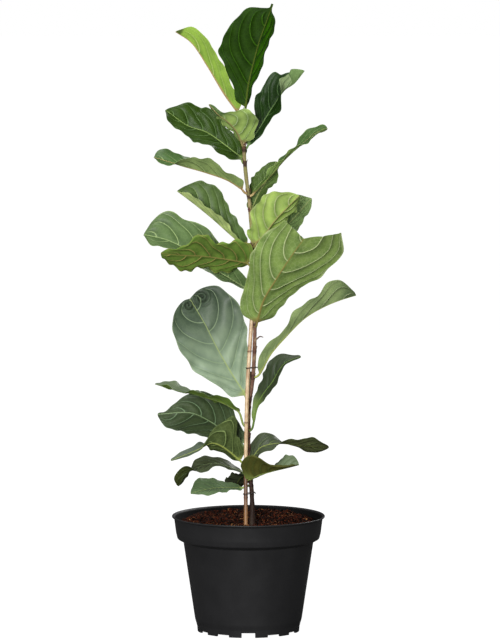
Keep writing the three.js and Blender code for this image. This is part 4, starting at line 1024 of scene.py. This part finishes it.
     "midrib": [[9, -33, 246], [19, -38, 251], [40, -45, 258], [60, -49, 263], [79, -52, 268]],
     "left": [26, 30, 30, 30, 28, 24, 10], "right": [36, 36, 24, 14, 9, 6, 3],
     "wave": 1.5, "phase": 0.1, "lobe": 14, "ripple": 0.4,
     "rim": {"right": {"width": 7, "from": (0.15, 0.3), "to": (0.8, 0.95), "angle": 150}},
     "top": "5d6c51", "under": "494b21", "rib": "7c8c48", "vein": "4c5c2c"},
]


# Waxy leaf: leathery and softly glossy above with sunk pale veins, and paler and matt below with raised ones.
# Between the veins runs a fine net, the blade is uneven in tone, with painted shade along its side veins and
# a painted highlight between them, and its thin margin is pale. Sizes are in millimetres.
leafFinish = {
    "netCell": 6.5, "mottle": 20, "grain": 1.1, "marginShare": 0.5, "bumpDepth": 0.4,
    "crowded": (5, 15),
    # half widths of the side veins and of the midrib, at their roots and their ends
    "upper": {"roughness": 0.42, "specular": 0.2, "raise": -0.35, "veinShare": 0.6, "ribShare": 0.75,
              "veinHalf": (0.7, 0.35), "ribHalf": (1.2, 0.45), "netShare": 0.06, "relief": 0.03,
              "darker": (0.68, 0.71, 0.71, 1), "lighter": (1.3, 1.26, 1.22, 1)},
    "under": {"roughness": 0.6, "specular": 0.1, "raise": 1.0, "veinShare": 0.8, "ribShare": 0.9,
              "veinHalf": (0.85, 0.42), "ribHalf": (1.8, 0.6), "netShare": 0.14, "relief": 0.06,
              "darker": (0.55, 0.6, 0.6, 1), "lighter": (1.42, 1.36, 1.3, 1)},
}


def makeLeafMaterial(name, side):
    look = {**leafFinish, **leafFinish[side]}
    material, tree, shader = newMaterial(name, {"IOR": 1.45, "Specular IOR Level": look["specular"]})
    tint, veinTint, ribTint = [
        addNode(tree, "Attribute", give="Color", attribute_name=key)
        for key in ("tint", "veinTint", "ribTint")]
    ribDistance, along, spacing, netting = [
        addNode(tree, "Attribute", give="Fac", attribute_name=key)
        for key in ("ribDistance", "along", "veinSpacing", "netting")]
    veinMap = addNode(tree, "UVMap", uv_map="veinMap")
    coordinate = addNode(tree, "SeparateXYZ", {0: veinMap})
    reach = addNode(tree, "SeparateXYZ", {0: veinMap}, give=1)
    place = addNode(tree, "TexCoord", give="Object")

    # millimetres to the nearest side vein: the spacing times (0.5 less the share off the middle of two veins)
    part = addNode(tree, "Math", {0: coordinate}, operation="FRACT")
    off = addNode(tree, "Math", {0: part, 1: 0.5}, operation="SUBTRACT")
    fromMiddle = addNode(tree, "Math", {0: off}, operation="ABSOLUTE")
    toVein = addNode(tree, "Math", {0: 0.5, 1: fromMiddle}, operation="SUBTRACT")
    veinDistance = addNode(tree, "Math", {0: toVein, 1: spacing}, operation="MULTIPLY")

    # a vein thins towards the edge, fades where veins crowd together, and is only on the blade
    veinHalf = addNode(tree, "MapRange", {
        "Value": reach, "To Min": look["veinHalf"][0], "To Max": look["veinHalf"][1]})
    veinRatio = addNode(tree, "Math", {0: veinDistance, 1: veinHalf}, operation="DIVIDE")
    veinLine = addNode(tree, "MapRange", {
        "Value": veinRatio, "From Min": 0.5, "From Max": 1.6, "To Min": 1, "To Max": 0}, **eased)
    onBlade = addNode(tree, "MapRange", {"Value": along, "From Min": -0.05, "From Max": 0.02})
    apart = addNode(tree, "MapRange", {
        "Value": spacing, "From Min": look["crowded"][0], "From Max": look["crowded"][1], "To Min": 0.08})
    clear = addNode(tree, "Math", {0: apart, 1: onBlade}, operation="MULTIPLY")
    vein = addNode(tree, "Math", {0: veinLine, 1: clear}, operation="MULTIPLY")
    ribHalf = addNode(tree, "MapRange", {
        "Value": along, "To Min": look["ribHalf"][0], "To Max": look["ribHalf"][1]})
    ribRatio = addNode(tree, "Math", {0: ribDistance, 1: ribHalf}, operation="DIVIDE")
    rib = addNode(tree, "MapRange", {
        "Value": ribRatio, "From Min": 0.6, "From Max": 1.3, "To Min": look["ribShare"],
        "To Max": 0}, **eased)

    net = addNode(tree, "TexVoronoi", {
        "Vector": place, "Scale": cellsOf(look["netCell"])}, feature="DISTANCE_TO_EDGE")
    netLine = addNode(tree, "MapRange", {
        "Value": net, "From Min": 0.01, "From Max": 0.1, "To Min": 1, "To Max": 0})
    mottle = addNode(tree, "TexNoise", {"Vector": place, "Scale": cellsOf(look["mottle"]), "Detail": 3})
    grain = addNode(tree, "TexNoise", {"Vector": place, "Scale": cellsOf(look["grain"]), "Detail": 2})

    # darker at random in the dark patches of the noise; painted shade along each side vein and a painted
    # highlight midway between two veins, where the blade bulges; both evener where the veins crowd together
    blotch = addNode(tree, "MapRange", {
        "Value": mottle, "From Min": 0.3, "From Max": 0.7, "To Max": 0.42}, **eased)
    offMean = addNode(tree, "Math", {0: fromMiddle, 1: 0.25}, operation="SUBTRACT")
    calmer = addNode(tree, "Math", {0: offMean, 1: apart, 2: 0.25}, operation="MULTIPLY_ADD")
    middle = addNode(tree, "MapRange", {
        "Value": calmer, "From Min": 0.05, "From Max": 0.5, "To Min": 0.54, "To Max": 0.08}, **eased)
    tone = addNode(tree, "Math", {0: blotch, 1: middle}, operation="ADD")
    shades = addNode(tree, "Mix", {0: tone, 6: look["darker"], 7: look["lighter"]}, **colourMix)
    ground = addNode(tree, "Mix", {0: 1.0, 6: tint, 7: shades}, **colourMix, blend_type="MULTIPLY")

    # the net, the side veins, the midrib and the margin are laid over the ground in turn
    netLine = addNode(tree, "Math", {0: netLine, 1: netting}, operation="MULTIPLY")
    netShare = addNode(tree, "Math", {0: netLine, 1: look["netShare"]}, operation="MULTIPLY")
    netted = addNode(tree, "Mix", {0: netShare, 6: ground, 7: veinTint}, **colourMix)
    veinShare = addNode(tree, "Math", {0: vein, 1: look["veinShare"]}, operation="MULTIPLY")
    veined = addNode(tree, "Mix", {0: veinShare, 6: netted, 7: veinTint}, **colourMix)
    ribbed = addNode(tree, "Mix", {0: rib, 6: veined, 7: ribTint}, **colourMix)
    margin = addNode(tree, "MapRange", {
        "Value": reach, "From Min": 0.96, "From Max": 0.995, "To Max": look["marginShare"]})
    marginShare = addNode(tree, "Math", {0: margin, 1: onBlade}, operation="MULTIPLY")
    edged = addNode(tree, "Mix", {0: marginShare, 6: ribbed, 7: veinTint}, **colourMix)
    tree.links.new(edged, shader.inputs["Base Color"])

    rough = addNode(tree, "MapRange", {
        "Value": mottle, "To Min": look["roughness"] - 0.07, "To Max": look["roughness"] + 0.07})
    tree.links.new(rough, shader.inputs["Roughness"])

    # raised veins and net below, sunk ones above, and a fine grain on both
    ridges = addNode(tree, "Math", {0: netLine, 1: 0.12, 2: vein}, operation="MULTIPLY_ADD")
    relief = addNode(tree, "Math", {0: grain, 1: look["relief"]}, operation="MULTIPLY")
    height = addNode(tree, "Math", {0: ridges, 1: look["raise"], 2: relief}, operation="MULTIPLY_ADD")
    bump = addNode(tree, "Bump", {
        "Height": height, "Distance": look["bumpDepth"] * millimetre, "Strength": 0.8})
    tree.links.new(bump, shader.inputs["Normal"])
    return material


# Young bark: thin and papery, green and tan on the new growth, brown lower down and nearly black towards its
# foot, with purplish brown round the nodes. Heights and sizes are in millimetres.
barkFinish = {
    "growth": "8c8654", "middle": "735344", "foot": "1c100c", "cork": "a48f6e", "node": "3c2422",
    "growthFrom": (500, 620), "footUpTo": (215, 265), "patch": 5, "fibre": 0.9, "bumpDepth": 0.5,
    "roughness": 0.6,
}


def makeBarkMaterial():
    look = barkFinish
    material, tree, shader = newMaterial("youngBark", {"IOR": 1.45, "Specular IOR Level": 0.25})
    place = addNode(tree, "TexCoord", give="Object")
    height = addNode(tree, "SeparateXYZ", {0: place}, give=2)
    squeezed = addNode(tree, "Mapping", {"Vector": place, "Scale": (1, 1, 0.4)})
    patches = addNode(tree, "TexNoise", {"Vector": squeezed, "Scale": cellsOf(look["patch"]), "Detail": 4})
    fibres = addNode(tree, "TexNoise", {"Vector": squeezed, "Scale": cellsOf(look["fibre"]), "Detail": 3})
    growth = addNode(tree, "MapRange", {"Value": height, **heightRange(look["growthFrom"])})
    ground = addNode(tree, "Mix", {0: growth, 6: look["middle"], 7: look["growth"]}, **colourMix)
    cork = addNode(tree, "MapRange", {
        "Value": patches, "From Min": 0.48, "From Max": 0.66, "To Max": 0.75}, **eased)
    corked = addNode(tree, "Mix", {0: cork, 6: ground, 7: look["cork"]}, **colourMix)
    nodeDark = addNode(tree, "Attribute", give="Fac", attribute_name="nodeDark")
    nodeShare = addNode(tree, "MapRange", {
        "Value": nodeDark, "From Min": 0.25, "From Max": 0.8, "To Max": 0.9}, **eased)
    noded = addNode(tree, "Mix", {0: nodeShare, 6: corked, 7: look["node"]}, **colourMix)
    foot = addNode(tree, "MapRange", {
        "Value": height, **heightRange(look["footUpTo"]), "To Min": 0.92, "To Max": 0}, **eased)
    footed = addNode(tree, "Mix", {0: foot, 6: noded, 7: look["foot"]}, **colourMix)
    tree.links.new(footed, shader.inputs["Base Color"])
    rough = addNode(tree, "MapRange", {
        "Value": patches, "To Min": look["roughness"] - 0.1, "To Max": look["roughness"] + 0.15})
    tree.links.new(rough, shader.inputs["Roughness"])
    bump = addNode(tree, "Bump", {
        "Height": fibres, "Distance": look["bumpDepth"] * millimetre, "Strength": 0.8})
    tree.links.new(bump, shader.inputs["Normal"])
    return material


# Dried bamboo: smooth, straw coloured skin with long fine fibres, darker in the grooves of its nodes, with
# painted shade below the lowest leaves and brown tan near the soil. Heights and sizes are in millimetres.
bambooFinish = {
    "pale": "dcc29c", "straw": "aa825e", "node": "5c3a24", "leafShade": "5a3a28", "leafShadeUpTo": (252, 268),
    "soilTone": "9a7048", "soilUpTo": (185, 215), "fibre": 1.2, "patch": 14, "roughness": 0.42,
    "bumpDepth": 0.12,
}


def makeBambooMaterial():
    look = bambooFinish
    material, tree, shader = newMaterial("driedBamboo", {"IOR": 1.5})
    place = addNode(tree, "TexCoord", give="Object")
    height = addNode(tree, "SeparateXYZ", {0: place}, give=2)
    drawn = addNode(tree, "Mapping", {"Vector": place, "Scale": (1, 1, 0.06)})
    fibres = addNode(tree, "TexNoise", {"Vector": drawn, "Scale": cellsOf(look["fibre"]), "Detail": 3})
    patches = addNode(tree, "TexNoise", {"Vector": place, "Scale": cellsOf(look["patch"]), "Detail": 3})
    both = addNode(tree, "Math", {0: fibres, 1: patches}, operation="MULTIPLY")
    tone = addNode(tree, "MapRange", {"Value": both, "From Min": 0.14, "From Max": 0.4})
    skin = addNode(tree, "Mix", {0: tone, 6: look["pale"], 7: look["straw"]}, **colourMix)
    node = addNode(tree, "Attribute", give="Fac", attribute_name="node")
    nodeShare = addNode(tree, "MapRange", {"Value": node, "From Min": 0.2, "From Max": 0.9, "To Max": 0.75})
    noded = addNode(tree, "Mix", {0: nodeShare, 6: skin, 7: look["node"]}, **colourMix)
    # painted shade from the leaves over the cane: darker below the lowest leaves
    leafShade = addNode(tree, "MapRange", {
        "Value": height, **heightRange(look["leafShadeUpTo"]), "To Min": 0.9, "To Max": 0})
    leafShaded = addNode(tree, "Mix", {0: leafShade, 6: noded, 7: look["leafShade"]}, **colourMix)
    nearSoil = addNode(tree, "MapRange", {
        "Value": height, **heightRange(look["soilUpTo"]), "To Min": 0.8, "To Max": 0})
    footed = addNode(tree, "Mix", {0: nearSoil, 6: leafShaded, 7: look["soilTone"]}, **colourMix)
    tree.links.new(footed, shader.inputs["Base Color"])
    rough = addNode(tree, "MapRange", {
        "Value": patches, "To Min": look["roughness"] - 0.08, "To Max": look["roughness"] + 0.12})
    tree.links.new(rough, shader.inputs["Roughness"])
    bump = addNode(tree, "Bump", {
        "Height": fibres, "Distance": look["bumpDepth"] * millimetre, "Strength": 0.8})
    tree.links.new(bump, shader.inputs["Normal"])
    return material


# Bark crumbs: bits of bark and coir, most of them dark red brown, some rust and a few straw coloured. Each
# crumb has one shade from 0 to 1.
crumbFinish = {"dark": "0c0402", "rust": "4e2211", "straw": "c8965c", "rustFrom": 0.35, "rustTo": 0.9,
               "strawFrom": 0.96, "strawShare": 0.35, "pore": 0.8, "bumpDepth": 0.4}


def makeCrumbMaterial():
    look = crumbFinish
    material, tree, shader = newMaterial("barkCrumbs", {
        "IOR": 1.4, "Specular IOR Level": 0.12, "Roughness": 0.9})
    place = addNode(tree, "TexCoord", give="Object")
    shade = addNode(tree, "Attribute", give="Fac", attribute_name="shade")
    rust = addNode(tree, "MapRange", {
        "Value": shade, "From Min": look["rustFrom"], "From Max": look["rustTo"]})
    brown = addNode(tree, "Mix", {0: rust, 6: look["dark"], 7: look["rust"]}, **colourMix)
    pale = addNode(tree, "MapRange", {
        "Value": shade, "From Min": look["strawFrom"], "From Max": look["strawFrom"] + 0.01,
        "To Max": look["strawShare"]})
    colour = addNode(tree, "Mix", {0: pale, 6: brown, 7: look["straw"]}, **colourMix)
    tree.links.new(colour, shader.inputs["Base Color"])
    pores = addNode(tree, "TexNoise", {"Vector": place, "Scale": cellsOf(look["pore"]), "Detail": 2})
    bump = addNode(tree, "Bump", {"Height": pores, "Distance": look["bumpDepth"] * millimetre})
    tree.links.new(bump, shader.inputs["Normal"])
    return material


# Finishes that are one noise between two colours. Grain and bump are in millimetres.
plainFinishes = {
    # thin brown paper of a dry bud scale, darker in streaks
    "dryBudScale": {"shader": {"IOR": 1.45, "Specular IOR Level": 0.25, "Roughness": 0.7}, "grain": 2,
                    "detail": 4, "dark": "2a1614", "light": "8a6450", "bumpDepth": 0.3},
    # a tie wire's thin dark coat of paper and plastic, softly glossy where it is rubbed
    "coatedTieWire": {"shader": {"IOR": 1.5}, "grain": 1.5, "detail": 2, "dark": "1c1512", "light": "4a382c",
                      "roughness": (0.35, 0.65)},
    # damp peat, almost black to red brown in uneven patches, with no shine
    "dampPeat": {"shader": {"IOR": 1.4, "Specular IOR Level": 0.12, "Roughness": 0.95}, "grain": 3.5,
                 "detail": 6, "range": (0.42, 0.68), "dark": "080301", "light": "3c1a0c", "bumpDepth": 1.2},
    # dry straw coloured strands of coir, uneven along their length
    "coirFibre": {"shader": {"IOR": 1.45, "Specular IOR Level": 0.2, "Roughness": 0.8}, "grain": 6,
                  "detail": 2, "dark": "381a0e", "light": "8e5c36"},
}


def makePlainMaterial(name):
    look = plainFinishes[name]
    material, tree, shader = newMaterial(name, look["shader"])
    place = addNode(tree, "TexCoord", give="Object")
    grain = addNode(tree, "TexNoise", {
        "Vector": place, "Scale": cellsOf(look["grain"]), "Detail": look["detail"]})
    tone = grain
    if "range" in look:
        tone = addNode(tree, "MapRange", {
            "Value": grain, "From Min": look["range"][0], "From Max": look["range"][1]})
    colour = addNode(tree, "Mix", {0: tone, 6: look["dark"], 7: look["light"]}, **colourMix)
    tree.links.new(colour, shader.inputs["Base Color"])
    if "roughness" in look:
        smooth, worn = look["roughness"]
        rough = addNode(tree, "MapRange", {"Value": grain, "To Min": smooth, "To Max": worn})
        tree.links.new(rough, shader.inputs["Roughness"])
    if "bumpDepth" in look:
        bump = addNode(tree, "Bump", {"Height": grain, "Distance": look["bumpDepth"] * millimetre})
        tree.links.new(bump, shader.inputs["Normal"])
    return material


# Moulded polypropylene: black nursery pot plastic with a fine, faintly uneven grain and a soft sheen. The
# inner wall over the soil is darkened with painted shade and made duller: it lies inside a cone through the
# wall's middle.
potFinish = {"dark": "202021", "light": "29292a", "grain": 0.9, "patch": 30, "roughness": 0.45,
             "bumpDepth": 0.05, "innerShade": "060606", "innerShadeFrom": (152, 155), "coneFoot": 92.6, "coneSlope": 0.13}


def makePotMaterial():
    look = potFinish
    material, tree, shader = newMaterial("mouldedPolypropylene", {"IOR": 1.49, "Specular IOR Level": 0.18})
    place = addNode(tree, "TexCoord", give="Object")
    grain = addNode(tree, "TexNoise", {"Vector": place, "Scale": cellsOf(look["grain"]), "Detail": 3})
    patches = addNode(tree, "TexNoise", {"Vector": place, "Scale": cellsOf(look["patch"]), "Detail": 4})
    colour = addNode(tree, "Mix", {0: patches, 6: look["dark"], 7: look["light"]}, **colourMix)
    height = addNode(tree, "SeparateXYZ", {0: place}, give=2)
    level = addNode(tree, "VectorMath", {0: place, 1: (1, 1, 0)}, operation="MULTIPLY")
    radius = addNode(tree, "VectorMath", {0: level}, give="Value", operation="LENGTH")
    cone = addNode(tree, "Math", {0: height, 1: look["coneSlope"], 2: look["coneFoot"] * millimetre},
                   operation="MULTIPLY_ADD")
    past = addNode(tree, "Math", {0: radius, 1: cone}, operation="SUBTRACT")
    within = addNode(tree, "MapRange", {
        "Value": past, "From Min": -0.5 * millimetre, "From Max": 0.5 * millimetre, "To Min": 1, "To Max": 0})
    over = addNode(tree, "MapRange", {"Value": height, **heightRange(look["innerShadeFrom"])})
    # painted shade on the inner wall over the soil, which is also made duller
    innerShade = addNode(tree, "Math", {0: within, 1: over}, operation="MULTIPLY")
    innerShaded = addNode(tree, "Mix", {0: innerShade, 6: colour, 7: look["innerShade"]}, **colourMix)
    tree.links.new(innerShaded, shader.inputs["Base Color"])
    rough = addNode(tree, "MapRange", {
        "Value": patches, "From Min": 0.3, "From Max": 0.7, "To Min": look["roughness"] - 0.06,
        "To Max": look["roughness"] + 0.06})
    duller = addNode(tree, "Math", {0: innerShade, 1: 0.3, 2: rough}, operation="MULTIPLY_ADD")
    tree.links.new(duller, shader.inputs["Roughness"])
    bump = addNode(tree, "Bump", {
        "Height": grain, "Distance": look["bumpDepth"] * millimetre, "Strength": 0.7})
    tree.links.new(bump, shader.inputs["Normal"])
    return material


leafMaterials = [makeLeafMaterial("waxyLeafUpper", "upper"), makeLeafMaterial("mattLeafUnder", "under")]
barkMaterial = makeBarkMaterial()
bambooMaterial = makeBambooMaterial()
crumbMaterial = makeCrumbMaterial()
scaleMaterial = makePlainMaterial("dryBudScale")
wireMaterial = makePlainMaterial("coatedTieWire")
soilMaterial = makePlainMaterial("dampPeat")
fibreMaterial = makePlainMaterial("coirFibre")
potPlastic = makePotMaterial()
print("materials made")

leafPieces = [makeLeaf(i, leaf) for i, leaf in enumerate(leafShapes)]
print("leaves made:", len(leafPieces), "with", sum(len(p.data.polygons) for p in leafPieces), "triangles")

makeStem()
makeScales()
makeCane()
makeTies()
makeSoil()
makePot()
print("stem, cane, ties, soil and pot made")

# The floor: pale and matt, and white to the camera
half = studio["floorSize"] / 2
floorMesh = bpy.data.meshes.new("paleFloor")
floorCorners = [(-half, -half, 0), (half, -half, 0), (half, half, 0), (-half, half, 0)]
floorMesh.from_pydata(floorCorners, [], [(0, 1, 2, 3)])
floor = bpy.data.objects.new("paleFloor", floorMesh)
scene.collection.objects.link(floor)
floorPaint, tree, shader = newMaterial("mattFloorPaint", {
    "Roughness": 0.9, "Specular IOR Level": 0, "Base Color": linearColour(studio["floorColour"]),
    "Emission Color": linearColour(studio["backdropColour"])})
seen = addNode(tree, "LightPath", give="Is Camera Ray")
glow = addNode(tree, "Math", {0: seen, 1: studio["floorGlow"]}, operation="MULTIPLY")
tree.links.new(glow, shader.inputs["Emission Strength"])
floorMesh.materials.append(floorPaint)
